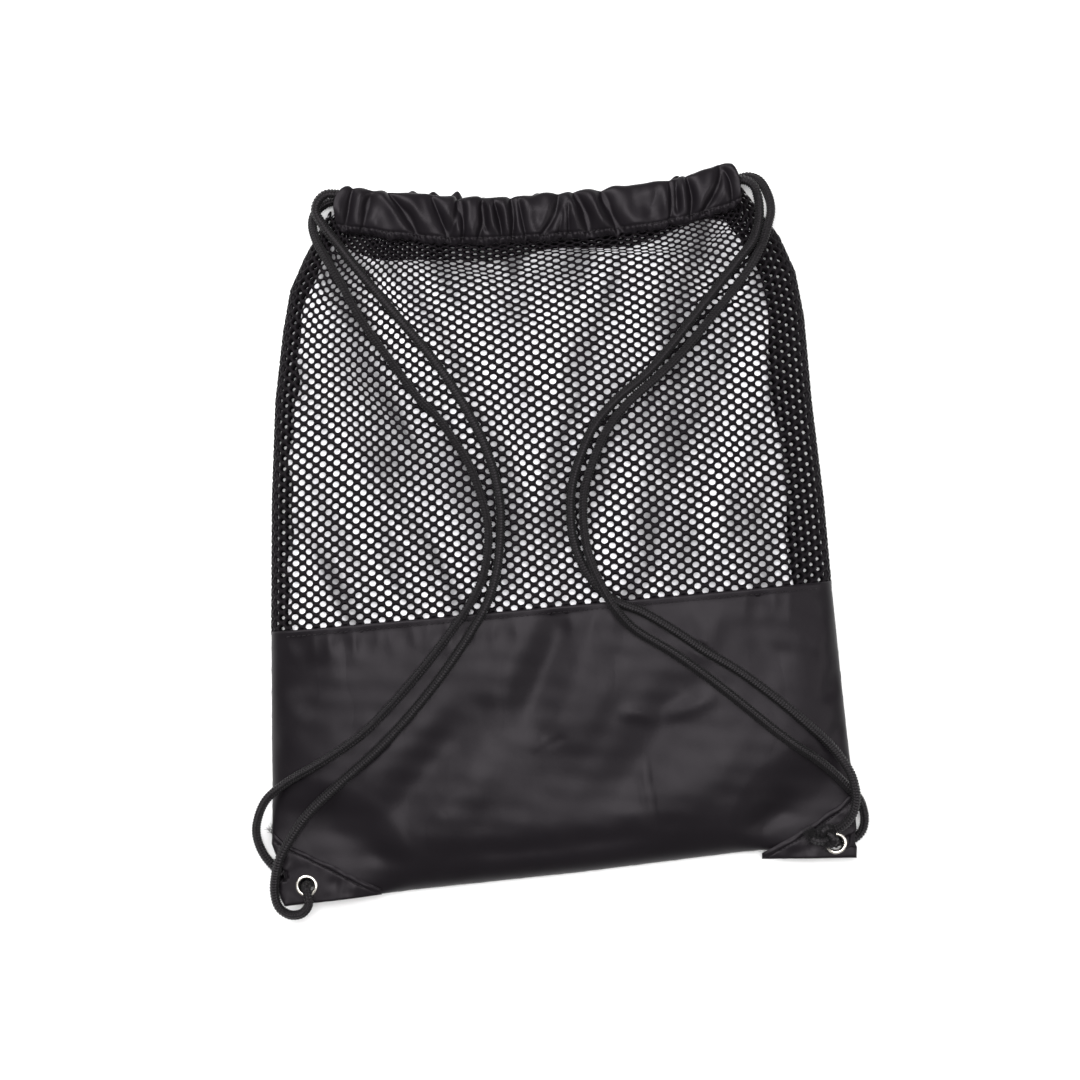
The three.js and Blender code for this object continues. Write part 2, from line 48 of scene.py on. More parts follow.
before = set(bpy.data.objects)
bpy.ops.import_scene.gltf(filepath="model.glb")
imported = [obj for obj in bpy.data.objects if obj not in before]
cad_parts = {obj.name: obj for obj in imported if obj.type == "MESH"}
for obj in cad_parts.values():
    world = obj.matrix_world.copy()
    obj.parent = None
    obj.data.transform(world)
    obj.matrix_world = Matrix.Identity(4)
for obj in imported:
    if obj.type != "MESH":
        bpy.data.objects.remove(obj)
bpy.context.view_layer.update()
MM = 0.001

# ------------------------------------------------------------------ the bag's measurements

SEAM_Y = -51.0
BOTTOM_Y = -226.0
EDGE_HEIGHT = 3.5
CROWN_HEIGHT = 20.0
SIDE_ROLL = 45.0
BOTTOM_ROLL = 40.0
TOP_ROLL = 40.0
TOP_DROP = 1.4

LEFT_SIDE = [(-226, -180), (-203, -181), (-186, -187), (-120, -182), (-51, -176),
             (33, -168), (96, -160), (140, -151), (166, -144), (186, -133), (201, -123)]
RIGHT_SIDE = [(-226, 184), (-190, 187), (-127, 186), (-51, 185), (1, 185),
              (65, 183), (120, 183), (149, 180), (172, 172), (191, 160)]
BOTTOM_EDGE = [(-185, -226), (-118, -224.6), (5, -222.8), (124, -218.8), (186, -225.5)]
CASING_LINE = [(-109, 214), (-94, 211), (-76, 207), (-38, 200), (-6, 197), (57, 196),
               (96, 197.5), (120, 201), (134, 204), (148, 207)]
CASING_HALF_HEIGHT = 15.0
CASING_HALF_THICKNESS = 4.5
CASING_LEFT, CASING_RIGHT = -109.0, 148.0
FRONT_CASING_Z, BACK_CASING_Z = 18.2, 4.5

LEFT_CORNER = {"x": -167, "y": -214, "lift": 12, "side": -1, "across": 60, "up": 48,
               "bottom": -226, "rise": (0.0, 1.3), "flare": 6.0}
RIGHT_CORNER = {"x": 172, "y": -218, "lift": 7.5, "side": 1, "across": 60, "up": 43,
                "bottom": -229, "rise": (0.3, 4.8), "flare": 1.0}
CORNER_FLAT, CORNER_FALL = 20.0, 50.0
PATCH_GAP, PATCH_THICKNESS, PATCH_TIP = 0.8, 0.7, 4.0

CORD_RADIUS = 3.0
CORD_GAP = 1.0
CORD_STEP = 0.3
CORD_SIDES = 36

# Where each strand of cord starts in its casing (inside), leaves it (top), lies over the bag
# (strand) and ends at its corner (tail). [x, y] rests on the front of the bag; [x, y, z] is
# placed as given.
STRANDS = {
    "left_inner": {
        "inside": [[-97, 220.5, 17.4]],
        "top": [[-109, 223.5, 18.2], [-115, 223.6, 18.2], [-120, 220, 18]],
        "strand": [[-122.3, 213.5, 17.8], [-118, 203.5, 18.6], [-109.5, 190.5], [-101, 177],
                   [-85, 154], [-73, 137], [-59, 117], [-48, 99], [-38, 79], [-29, 57],
                   [-24, 37], [-22, 16], [-24, -5], [-28, -25], [-35, -43], [-47, -61],
                   [-68, -87], [-89, -109], [-114, -131.5], [-139, -150],
                   [-161, -167.5, 22.4], [-175, -184, 20.6], [-182.5, -195.5, 20.4],
                   [-186.2, -206, 18.4]],
        "tail": [[-187.8, -217, 16.9], [-185.6, -226.5, 17], [-179, -231.4, 18.6],
                 [-171, -230.8, 21.2], [-166.2, -225.5, 23.6], [-166.2, -219.6, 25],
                 [-166.8, -215.4, 23.6], [-167, -214, 19.9]],
    },
    "left_outer": {
        "inside": [[-97, 218, 4.5]],
        "top": [[-109, 220.5, 4.5], [-117, 219, 4.9], [-123.4, 213.5, 6.6]],
        "strand": [[-125.6, 206.5, 9], [-124, 196, 14], [-119.5, 185.5], [-111, 168],
                   [-99, 141], [-82, 112], [-67, 88], [-57, 76], [-48, 61], [-39, 43],
                   [-34, 25], [-31, 7], [-32, -9], [-37.5, -29], [-47, -44.5], [-65, -66],
                   [-87, -89], [-105, -106], [-124, -121.5], [-150, -136], [-174, -147.5],
                   [-188.5, -158, 14.6], [-195.6, -172, 10.5]],
        "tail": [[-196.6, -181, 8.2], [-193.8, -192, 5.4], [-188, -201, 3.9],
                 [-182.4, -206.4, 3.6]],
    },
    "right_outer": {
        "inside": [[137, 208.6, 4.5]],
        "top": [[148.2, 211, 4.5], [155, 212, 5.6], [161.8, 208.4, 9]],
        "strand": [[166, 199.18, 13], [167, 189, 16.4], [163.8, 178, 19.8], [158.5, 166],
                   [149.5, 152.5], [136, 137], [118, 118.5], [101.5, 102], [84, 88],
                   [64, 73], [49.5, 57], [40, 40], [32, 20], [29.8, 2], [30.2, -14, 24.8],
                   [31.5, -22, 27.8], [33.6, -30, 29.6], [37.2, -40, 30.8],
                   [43, -53, 30.2], [49, -62, 27.4], [56, -70, 25], [79, -87],
                   [104, -108.5], [122, -125.5], [139, -142], [151, -152.5], [163, -162],
                   [174, -172.5, 17], [182.3, -182.3, 15.8]],
        "tail": [[188.7, -190.2, 15], [191.6, -198.6, 11], [191.9, -206.6, 7.6],
                 [189.6, -213, 4.6], [184.8, -216.9, 3.5], [179, -218, 3.4],
                 [172, -218, 3.3]],
    },
    "right_inner": {
        "inside": [[137, 206.6, 17.5]],
        "top": [[148.4, 209, 18.2], [152.8, 208.2, 18], [157.2, 204.6, 17]],
        "strand": [[159.2, 198.82, 16], [159.2, 186, 18.6], [154.2, 171, 21.4], [141, 156],
                   [127, 141], [109.5, 122.5], [94, 106], [78, 91], [57.5, 76.5],
                   [42, 61], [32, 43.5], [24.5, 24], [22, 6], [22.4, -10], [27, -27],
                   [33, -38], [39.5, -46], [48, -52.5], [62, -59.5], [81, -73],
                   [99, -87.5], [119, -102], [138, -118.5], [159, -139],
                   [174, -155.5, 19.6], [184, -172.5, 21.6], [186.3, -182, 22.5]],
        "tail": [[186.4, -192, 22], [183.4, -200, 20.6], [178.4, -205.8, 19.4],
                 [172.4, -209.2, 18.4]],
    },
}
STRAP_BODY = {"left_inner": "left_inner_strap", "left_outer": "left_outer_strap",
              "right_outer": "right_strap", "right_inner": "right_strap"}

# Folds of the nylon: two ends, half width and height of the ridge (a valley is negative).
NYLON_FOLDS = [
    ((18, -50), (-26, -132), 13, -3.0), ((34, -58), (-6, -150), 14, 2.2),
    ((-2, -60), (-42, -112), 12, 1.6), ((-40, -106), (-122, -190), 14, -2.8),
    ((-60, -100), (-134, -166), 15, 1.8), ((-34, -146), (-92, -196), 16, 2.2),
    ((-84, -204), (66, -206), 8, -1.7), ((94, -100), (22, -184), 14, -2.8),
    ((104, -119), (68, -128), 6, 1.7), ((66, -128), (40, -122), 5, 1.0),
    ((120, -150), (60, -190), 18, 2.0), ((40, -90), (10, -150), 12, 1.6),
    ((54.7, -138), (59.5, -212), 1.0, -0.45), ((173, -127), (185, -104), 6, -2.2),
    ((168, -98), (184, -78), 7, 1.4), ((170, -160), (185, -140), 5, -1.6),
    ((-172, -92), (-140, -66), 9, -1.8), ((-176, -130), (-156, -100), 8, 1.4),
    ((130, -60), (150, -110), 12, -1.6), ((110, -62), (96, -96), 9, 1.2),
    ((150, -190), (112, -214), 9, -2.4), ((-6, -140), (6, -134), 2.6, -0.4),
    ((-16, -142), (-7, -132), 2.4, 0.35), ((-130, -196), (-96, -208), 9, -1.6),
]
# Folds of the net, which also draw its holes together across them.
NET_FOLDS = [
    ((-96, 186), (-50, 172), 5, 2.0), ((-50, 172), (-4, 160), 6, -2.2),
    ((-6, 168), (58, 152), 7, 2.0), ((40, 172), (120, 166), 5, 2.2),
    ((10, 178), (70, 174), 4, -1.8), ((-90, 168), (-66, 132), 6, -1.8),
    ((-118, 120), (-70, 58), 7, -2.2), ((-128, 96), (-84, 36), 7, 1.4),
    ((-140, 170), (-156, 110), 8, -2.4), ((150, 186), (120, 168), 5, -2.0),
    ((100, 150), (150, 128), 7, -1.6), ((-20, 140), (40, 128), 8, -1.2),
    ((120, 60), (150, -20), 10, -1.4), ((-150, 20), (-140, -40), 9, -1.2),
    ((-16, 96), (-4, 20), 9, -1.2), ((62, 120), (88, 60), 10, 1.2),
]
# Gathers of the casing: x at its lower and upper edge, width, depth, the lowest and highest
# part it reaches (-1 to 1) and how far it bows.
CASING_FOLDS = [
    (-105, -99, 2.6, 3.0, -0.9, 1.2, 1), (-93, -85, 2.6, 2.8, -1, 0.9, -1),
    (-57, -75, 3.2, 3.2, -1, 1.2, 2), (-37, -47, 2.4, 2.4, -1, 1, -1),
    (-40, -30, 2.6, 2.6, -0.6, 1.2, 1), (-30, -30, 2.0, 3.6, -1, 1.2, 1),
    (-21, -16, 1.8, 2.4, -1, 0.7, 2), (-12, -15, 1.7, 2.4, -0.5, 1.2, -2),
    (-5, -9, 1.8, 2.8, -1, 0.8, 1), (1, 3, 2.2, 3.6, -1, 1.2, 1),
    (11, 8, 2.0, 3.0, -1, 0.9, -1), (17, 33, 2.6, 2.8, -0.8, 1.1, 4),
    (30, 36, 1.8, 2.0, -1, 0.2, 1), (38, 40, 1.7, 2.2, -1, 0.5, -1),
    (51, 43, 2.8, 3.6, -1, 1.2, 2), (72, 61, 3.6, 4.2, -1, 1.1, -2),
    (82, 96, 3.2, 1.0, -0.3, 0.6, 3), (102, 104, 2.0, 2.6, -1, 1, 1),
    (108, 109, 2.2, 3.4, -0.6, 1.2, -1), (115, 115, 2.2, 3.4, -0.8, 1.2, 2),
    (121, 139, 2.6, 2.6, -1, 1, 3), (143, 140, 1.8, 2.2, -1, 0.8, 1),
]
# Folds of the white liner.
LINER_FOLDS = [
    ((-120, 150), (-60, 20), 16, -4.0), ((-90, 150), (-30, 40), 14, 2.4),
    ((-60, 60), (-10, -50), 15, -4.2), ((-10, 150), (10, 30), 14, -3.2),
    ((30, 130), (90, 20), 18, -3.4), ((90, 150), (130, 40), 13, -3.0),
    ((-140, 60), (-120, -60), 12, -3.2), ((60, 20), (110, -60), 15, -3.6),
    ((-60, 178), (60, 168), 10, -4.0), ((100, 180), (150, 160), 9, -4.0),
    ((-120, 190), (-70, 170), 9, -4.0), ((0, 10), (20, -70), 12, -2.6),
    ((-30, 100), (30, 96), 12, 1.8), ((130, 10), (150, -70), 10, -2.6),
]


# ------------------------------------------------------------------------ plain geometry

def along(pairs, key):
    """Straight-line reading of a list of (key, value) pairs, carried on past its ends."""
    ks, vs = (np.array(c, float) for c in zip(*pairs))
    first = vs[0] - 1000 * (vs[1] - vs[0]) / (ks[1] - ks[0])
    last = vs[-1] + 1000 * (vs[-1] - vs[-2]) / (ks[-1] - ks[-2])
    ks = np.concatenate([[ks[0] - 1000], ks, [ks[-1] + 1000]])
    return np.interp(key, ks, np.concatenate([[first], vs, [last]]))


def smooth(t):
    t = np.clip(t, 0, 1)
    return t * t * (3 - 2 * t)


def quarter_round(t):
    return np.sqrt(1 - (1 - np.clip(t, 0, 1)) ** 2)


def left_side(y):
    return along(LEFT_SIDE, y)


def right_side(y):
    return along(RIGHT_SIDE, y)


def casing_y(x):
    return along(CASING_LINE, x)


def net_top(u):
    """Where the net ends below the casing, from u = 0 on the left to 1 on the right."""
    x = LEFT_SIDE[-1][1] + u * (RIGHT_SIDE[-1][1] - LEFT_SIDE[-1][1])
    under = casing_y(np.clip(x, CASING_LEFT, CASING_RIGHT)) - CASING_HALF_HEIGHT - 0.6
    left = smooth((CASING_LEFT - x) / 11)
    right = smooth((x - CASING_RIGHT) / 12)
    shoulder = np.where(left > 0, LEFT_SIDE[-1][0], RIGHT_SIDE[-1][0])
    return under + (shoulder - under) * np.maximum(left, right)


def corner_distance(corner, x, y):
    return np.hypot(x - corner["x"], y - corner["y"])


def corner_lift(x, y):
    lifts = [c["lift"] * (1 - smooth((corner_distance(c, x, y) - CORNER_FLAT) / CORNER_FALL))
             for c in (LEFT_CORNER, RIGHT_CORNER)]
    return np.maximum(*lifts)


def front_height(x, y):
    """Height of the outside of the front of the bag, before any fold."""
    x, y = np.asarray(x, float), np.asarray(y, float)
    left, right = left_side(y), right_side(y)
    lift = corner_lift(x, y)
    from_side = np.minimum(x - left, right - x)
    dome = quarter_round(from_side / SIDE_ROLL) * quarter_round((y - BOTTOM_Y) / BOTTOM_ROLL)
    nearest = np.minimum(corner_distance(LEFT_CORNER, x, y), corner_distance(RIGHT_CORNER, x, y))
    opened = smooth((nearest - CORNER_FLAT) / CORNER_FALL)
    u = (x - left) / (right - left)
    drop = TOP_DROP * (1 - quarter_round((net_top(u) - y) / TOP_ROLL))
    rise = (CROWN_HEIGHT - EDGE_HEIGHT - lift) * dome * opened
    return lift + EDGE_HEIGHT + rise - drop * dome


def bottom_rise(x, y):
    """How much the bottom edge climbs towards the right corner, fading up the panel."""
    edge = along(BOTTOM_EDGE, x) - BOTTOM_Y
    return edge * (1 - smooth((y - BOTTOM_Y) / 60))


def fold_field(x, y, folds):
    """Height that a list of folds adds at each point."""
    total = np.zeros_like(x)
    for (x0, y0), (x1, y1), width, height in folds:
        dx, dy = x1 - x0, y1 - y0
        length = math.hypot(dx, dy)
        t = ((x - x0) * dx + (y - y0) * dy) / length ** 2
        side = ((x - x0) * dy - (y - y0) * dx) / length
        taper = smooth(t * 2.2 + 0.25) * smooth((1 - t) * 2.2 + 0.25)
        bowed = side + 0.18 * width * np.sin(t * 3.1 + x0)
        total += height * taper * np.exp(-(bowed / width) ** 2)
    return total


def pinch(x, y, folds, strength):
    """Moves points towards each fold's line, as cloth drawn together across it."""
    nx, ny = x.copy(), y.copy()
    for (x0, y0), (x1, y1), width, height in folds:
        dx, dy = x1 - x0, y1 - y0
        length = math.hypot(dx, dy)
        t = ((x - x0) * dx + (y - y0) * dy) / length ** 2
        side = ((x - x0) * dy - (y - y0) * dx) / length
        taper = smooth(t * 2.2 + 0.25) * smooth((1 - t) * 2.2 + 0.25)
        pull = -strength * abs(height) * taper * np.tanh(side / width)
        pull *= np.exp(-(side / (4 * width)) ** 2)
        nx += pull * dy / length
        ny -= pull * dx / length
    return nx, ny


def ripples(x, y, seed, wavelength, count=5):
    """Soft unevenness, between about -1 and 1: a few plane waves in seeded directions."""
    rng = np.random.default_rng(seed)
    total = np.zeros_like(x)
    for _ in range(count):
        angle, phase = rng.uniform(0, math.pi), rng.uniform(0, 2 * math.pi)
        k = 2 * math.pi / (wavelength * rng.uniform(0.7, 1.5))
        total += np.sin(k * (x * math.cos(angle) + y * math.sin(angle)) + phase)
    return total / count * 1.6


def smooth_path(points, step):
    """A smooth curve through the points, as points about step apart."""
    p = np.array(points, float)
    p = np.vstack([2 * p[0] - p[1], p, 2 * p[-1] - p[-2]])
    knots = np.concatenate([[0], np.cumsum(np.linalg.norm(np.diff(p, axis=0), axis=1) ** 0.5)])
    fine = []
    for i in range(1, len(p) - 2):
        t0, t1, t2, t3 = knots[i - 1:i + 3]
        t = np.linspace(t1, t2, 24, endpoint=False)[:, None]
        a1 = (t1 - t) / (t1 - t0) * p[i - 1] + (t - t0) / (t1 - t0) * p[i]
        a2 = (t2 - t) / (t2 - t1) * p[i] + (t - t1) / (t2 - t1) * p[i + 1]
        a3 = (t3 - t) / (t3 - t2) * p[i + 1] + (t - t2) / (t3 - t2) * p[i + 2]
        b1 = (t2 - t) / (t2 - t0) * a1 + (t - t0) / (t2 - t0) * a2
        b2 = (t3 - t) / (t3 - t1) * a2 + (t - t1) / (t3 - t1) * a3
        fine.append((t2 - t) / (t2 - t1) * b1 + (t - t1) / (t2 - t1) * b2)
    fine = np.vstack([*fine, p[-2]])
    return resample(fine, step)


def resample(line, step):
    run = np.concatenate([[0], np.cumsum(np.linalg.norm(np.diff(line, axis=0), axis=1))])
    at = np.linspace(0, run[-1], max(2, round(run[-1] / step) + 1))
    return np.stack([np.interp(at, run, line[:, k]) for k in range(3)], axis=1)


def tangents(line):
    t = np.gradient(line, axis=0)
    return t / np.linalg.norm(t, axis=1)[:, None]


def tube_grid(line, sides, radius, flatten=1.0):
    """Rings of points round a line. radius is a number or an array of rings by sides."""
    t = tangents(line)
    normal = np.array([0.0, 0.0, 1.0]) - t[0] * t[0][2]
    if np.linalg.norm(normal) < 0.05:
        normal = np.array([1.0, 0.0, 0.0]) - t[0] * t[0][0]
    normals = []
    for d in t:
        normal = normal - d * (normal @ d)
        normal /= np.linalg.norm(normal)
        normals.append(normal)
    n = np.array(normals)
    b = np.cross(t, n)
    angle = np.arange(sides) * 2 * math.pi / sides
    r = np.broadcast_to(radius, (len(line), sides))[:, :, None]
    ring = (np.cos(angle)[None, :, None] * flatten * n[:, None]
            + np.sin(angle)[None, :, None] * b[:, None])
    return line[:, None] + ring * r


def tube_mesh(grid):
    """Points and faces of a tube with closed ends."""
    rings, sides = grid.shape[:2]
    i = np.arange(rings - 1)[:, None] * sides
    j = np.arange(sides)[None]
    k = (j + 1) % sides
    quads = np.stack([i + j, i + k, i + sides + k, i + sides + j], axis=-1).reshape(-1, 4)
    points = np.vstack([grid.reshape(-1, 3), grid[0].mean(0), grid[-1].mean(0)])
    first, last = rings * sides, rings * sides + 1
    j, k = j[0], k[0]
    start = np.stack([k, j, np.full(sides, first)], axis=-1)
    base = (rings - 1) * sides
    end = np.stack([base + j, base + k, np.full(sides, last)], axis=-1)
    return points, [quads[:, ::-1], start[:, ::-1], end[:, ::-1]]


def closed_sheet(top, thickness, keep=None):
    """Points and faces of a thin sheet over a grid of top points. keep(x, y) drops faces."""
    rows, cols = top.shape[:2]
    du, dv = np.gradient(top, axis=1), np.gradient(top, axis=0)
    n = np.cross(du, dv)
    n /= np.maximum(np.linalg.norm(n, axis=2), 1e-9)[:, :, None]
    under = top - n * thickness
    i = np.arange(rows - 1)[:, None] * cols
    j = np.arange(cols - 1)[None]
    faces = np.stack([i + j, i + j + 1, i + cols + j + 1, i + cols + j], axis=-1)
    faces = faces.reshape(-1, 4)
    flat = top.reshape(-1, 3)
    if keep is not None:
        middle = flat[faces].mean(1)
        faces = faces[keep(middle[:, 0], middle[:, 1])]
    edges = np.vstack([faces[:, [a, (a + 1) % 4]] for a in range(4)])
    low = np.sort(edges, axis=1)
    _, index, counts = np.unique(low, axis=0, return_index=True, return_counts=True)
    rim = edges[index[counts == 1]]
    shift = rows * cols
    walls = np.stack([rim[:, 1], rim[:, 0], rim[:, 0] + shift, rim[:, 1] + shift], axis=-1)
    return np.vstack([flat, under.reshape(-1, 3)]), [faces, faces[:, ::-1] + shift, walls]


def joined(parts):
    """Several (points, faces) as one."""
    points, faces, start = [], [], 0
    for p, fs in parts:
        points.append(p)
        faces += [f + start for f in fs]
        start += len(p)
    return np.vstack(points), faces


def make_piece(name, points, faces, material, body, nodes=(), flat=False):
    """A mesh object from points in millimetres, riding on a body."""
    used = np.unique(np.concatenate([f.ravel() for f in faces]))
    renumber = np.full(len(points), -1)
    renumber[used] = np.arange(len(used))
    points = np.asarray(points, float)[used] * MM
    mesh = bpy.data.meshes.new(name)
    loops = np.concatenate([renumber[f].ravel() for f in faces])
    sizes = np.concatenate([np.full(len(f), f.shape[1]) for f in faces])
    mesh.vertices.add(len(points))
    mesh.vertices.foreach_set("co", points.astype(np.float32).ravel())
    mesh.loops.add(len(loops))
    mesh.loops.foreach_set("vertex_index", loops.astype(np.int32))
    mesh.polygons.add(len(sizes))
    starts = np.concatenate([[0], np.cumsum(sizes)[:-1]])
    mesh.polygons.foreach_set("loop_start", starts.astype(np.int32))
    mesh.polygons.foreach_set("use_smooth", np.full(len(sizes), not flat))
    mesh.update(calc_edges=True)
    mesh.validate()
    mesh.materials.append(material)
    piece = bpy.data.objects.new(name, mesh)
    bpy.context.scene.collection.objects.link(piece)
    if body:
        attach(piece, body)
    if nodes:
        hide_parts(*nodes)
    return piece


# ------------------------------------------------------------------------------ materials

def node_group(name, inputs, outputs):
    """An empty node group with its sockets, and its input and output nodes."""
    group = bpy.data.node_groups.new(name, "ShaderNodeTree")
    for label, default in inputs:
        socket = group.interface.new_socket(label, in_out="INPUT", socket_type="NodeSocketFloat")
        socket.default_value = default
    for label in outputs:
        group.interface.new_socket(label, in_out="OUTPUT", socket_type="NodeSocketFloat")
    return group, group.nodes.new("NodeGroupInput"), group.nodes.new("NodeGroupOutput")


def math_node(tree, operation, a, b=None, clamp=False):
    node = tree.nodes.new("ShaderNodeMath")
    node.operation = operation
    node.use_clamp = clamp
    for socket, value in zip(node.inputs, (a, b)):
        if value is None:
            continue
        if isinstance(value, (int, float)):
            socket.default_value = value
        else:
            tree.links.new(value, socket)
    return node.outputs[0]


def noise_node(tree, vector, scale, detail=3.0, roughness=0.55):
    node = tree.nodes.new("ShaderNodeTexNoise")
    tree.links.new(vector, node.inputs["Vector"])
    if isinstance(scale, (int, float)):
        node.inputs["Scale"].default_value = scale
    else:
        tree.links.new(scale, node.inputs["Scale"])
    node.inputs["Detail"].default_value = detail
    node.inputs["Roughness"].default_value = roughness
    return node.outputs["Fac"]


def plain_weave_group():
    """Crossing threads: a height for bump, and a slow mask for colour."""
    group, inside, outside = node_group(
        "plain_weave", [("Threads", 600.0), ("Unevenness", 40.0)], ["Height", "Mask"])
    place = group.nodes.new("ShaderNodeTexCoord").outputs["Object"]
    waves = []
    for axis in ("X", "Y"):
        wave = group.nodes.new("ShaderNodeTexWave")
        wave.bands_direction = axis
        group.links.new(place, wave.inputs["Vector"])
        group.links.new(inside.outputs["Threads"], wave.inputs["Scale"])
        waves.append(wave.outputs["Fac"])
    threads = math_node(group, "MAXIMUM", waves[0], waves[1])
    slow = noise_node(group, place, inside.outputs["Unevenness"], 4.0)
    height = math_node(group, "ADD", math_node(group, "MULTIPLY", threads, 0.5), slow)
    group.links.new(height, outside.inputs["Height"])
    group.links.new(slow, outside.inputs["Mask"])
    return group


def painted_fold_shade_group():
    """Broad shading bands that fan out from the middle of the mouth, as a mask."""
    group, inside, outside = node_group(
        "liner_painted_shade", [("Across", 34.0), ("Along", 7.0)], ["Mask"])
    place = group.nodes.new("ShaderNodeTexCoord").outputs["Object"]
    split = group.nodes.new("ShaderNodeSeparateXYZ")
    group.links.new(place, split.inputs[0])
    x = math_node(group, "ABSOLUTE", split.outputs[0])
    y = split.outputs[1]
    across = math_node(group, "SUBTRACT", math_node(group, "MULTIPLY", x, 0.91),
                       math_node(group, "MULTIPLY", y, 0.42))
    along_fold = math_node(group, "ADD", math_node(group, "MULTIPLY", x, 0.42),
                           math_node(group, "MULTIPLY", y, 0.91))
    join = group.nodes.new("ShaderNodeCombineXYZ")
    across = math_node(group, "MULTIPLY", across, inside.outputs["Across"])
    along_fold = math_node(group, "MULTIPLY", along_fold, inside.outputs["Along"])
    group.links.new(across, join.inputs[0])
    group.links.new(along_fold, join.inputs[1])
    group.links.new(split.outputs[0], join.inputs[2])
    noise = noise_node(group, join.outputs[0], 1.0, 3.0)
    mask = math_node(group, "MULTIPLY", math_node(group, "SUBTRACT", noise, 0.38), 5.5,
                     clamp=True)
    group.links.new(mask, outside.inputs["Mask"])
    return group


def crease_group():
    """Fine sharp creases left in the cloth by packing."""
    group, inside, outside = node_group(
        "fine_creases", [("Scale", 22.0), ("Sharpness", 14.0)], ["Height"])
    place = group.nodes.new("ShaderNodeTexCoord").outputs["Object"]
    stretch = group.nodes.new("ShaderNodeMapping")
    stretch.inputs["Rotation"].default_value = (0, 0, 0.7)
    stretch.inputs["Scale"].default_value = (1.0, 0.35, 1.0)
    group.links.new(place, stretch.inputs["Vector"])
    noise = noise_node(group, stretch.outputs["Vector"], inside.outputs["Scale"], 2.0)
    centred = math_node(group, "ABSOLUTE", math_node(group, "SUBTRACT", noise, 0.5))
    valley = math_node(group, "MULTIPLY", centred, inside.outputs["Sharpness"], clamp=True)
    group.links.new(valley, outside.inputs["Height"])
    return group


def new_material(name, colour, roughness, metallic=0.0, specular=0.5):
    material = bpy.data.materials.new(name)
    material.use_nodes = True
    shader = material.node_tree.nodes["Principled BSDF"]
    shader.inputs["Base Color"].default_value = (*colour, 1)
    shader.inputs["Roughness"].default_value = roughness
    shader.inputs["Metallic"].default_value = metallic
    shader.inputs["Specular IOR Level"].default_value = specular
    if not metallic:
        shader.inputs["Specular Tint"].default_value = (1.0, 0.93, 0.99, 1)
    material.diffuse_color = (*colour, 1)
    return material, material.node_tree, shader


def colour_between(tree, shader, factor, dark, light):
    mix = tree.nodes.new("ShaderNodeMix")
    mix.data_type = "RGBA"
    mix.inputs[6].default_value = (*dark, 1)
    mix.inputs[7].default_value = (*light, 1)
    tree.links.new(factor, mix.inputs[0])
    tree.links.new(mix.outputs[2], shader.inputs["Base Color"])


def roughness_between(tree, shader, factor, low, high):
    value = math_node(tree, "ADD", math_node(tree, "MULTIPLY", factor, high - low), low)
    tree.links.new(value, shader.inputs["Roughness"])


def bump(tree, shader, height, distance, strength=1.0, under=None):
    node = tree.nodes.new("ShaderNodeBump")
    node.inputs["Distance"].default_value = distance
    node.inputs["Strength"].default_value = strength
    tree.links.new(height, node.inputs["Height"])
    if under is not None:
        tree.links.new(under, node.inputs["Normal"])
    tree.links.new(node.outputs["Normal"], shader.inputs["Normal"])
    return node.outputs["Normal"]


def place_group(tree, group, **values):
    node = tree.nodes.new("ShaderNodeGroup")
    node.node_tree = group
    for label, value in values.items():
        node.inputs[label].default_value = value
    return node


def shade(colour, factor):
    return tuple(min(1.0, c * factor) for c in colour)


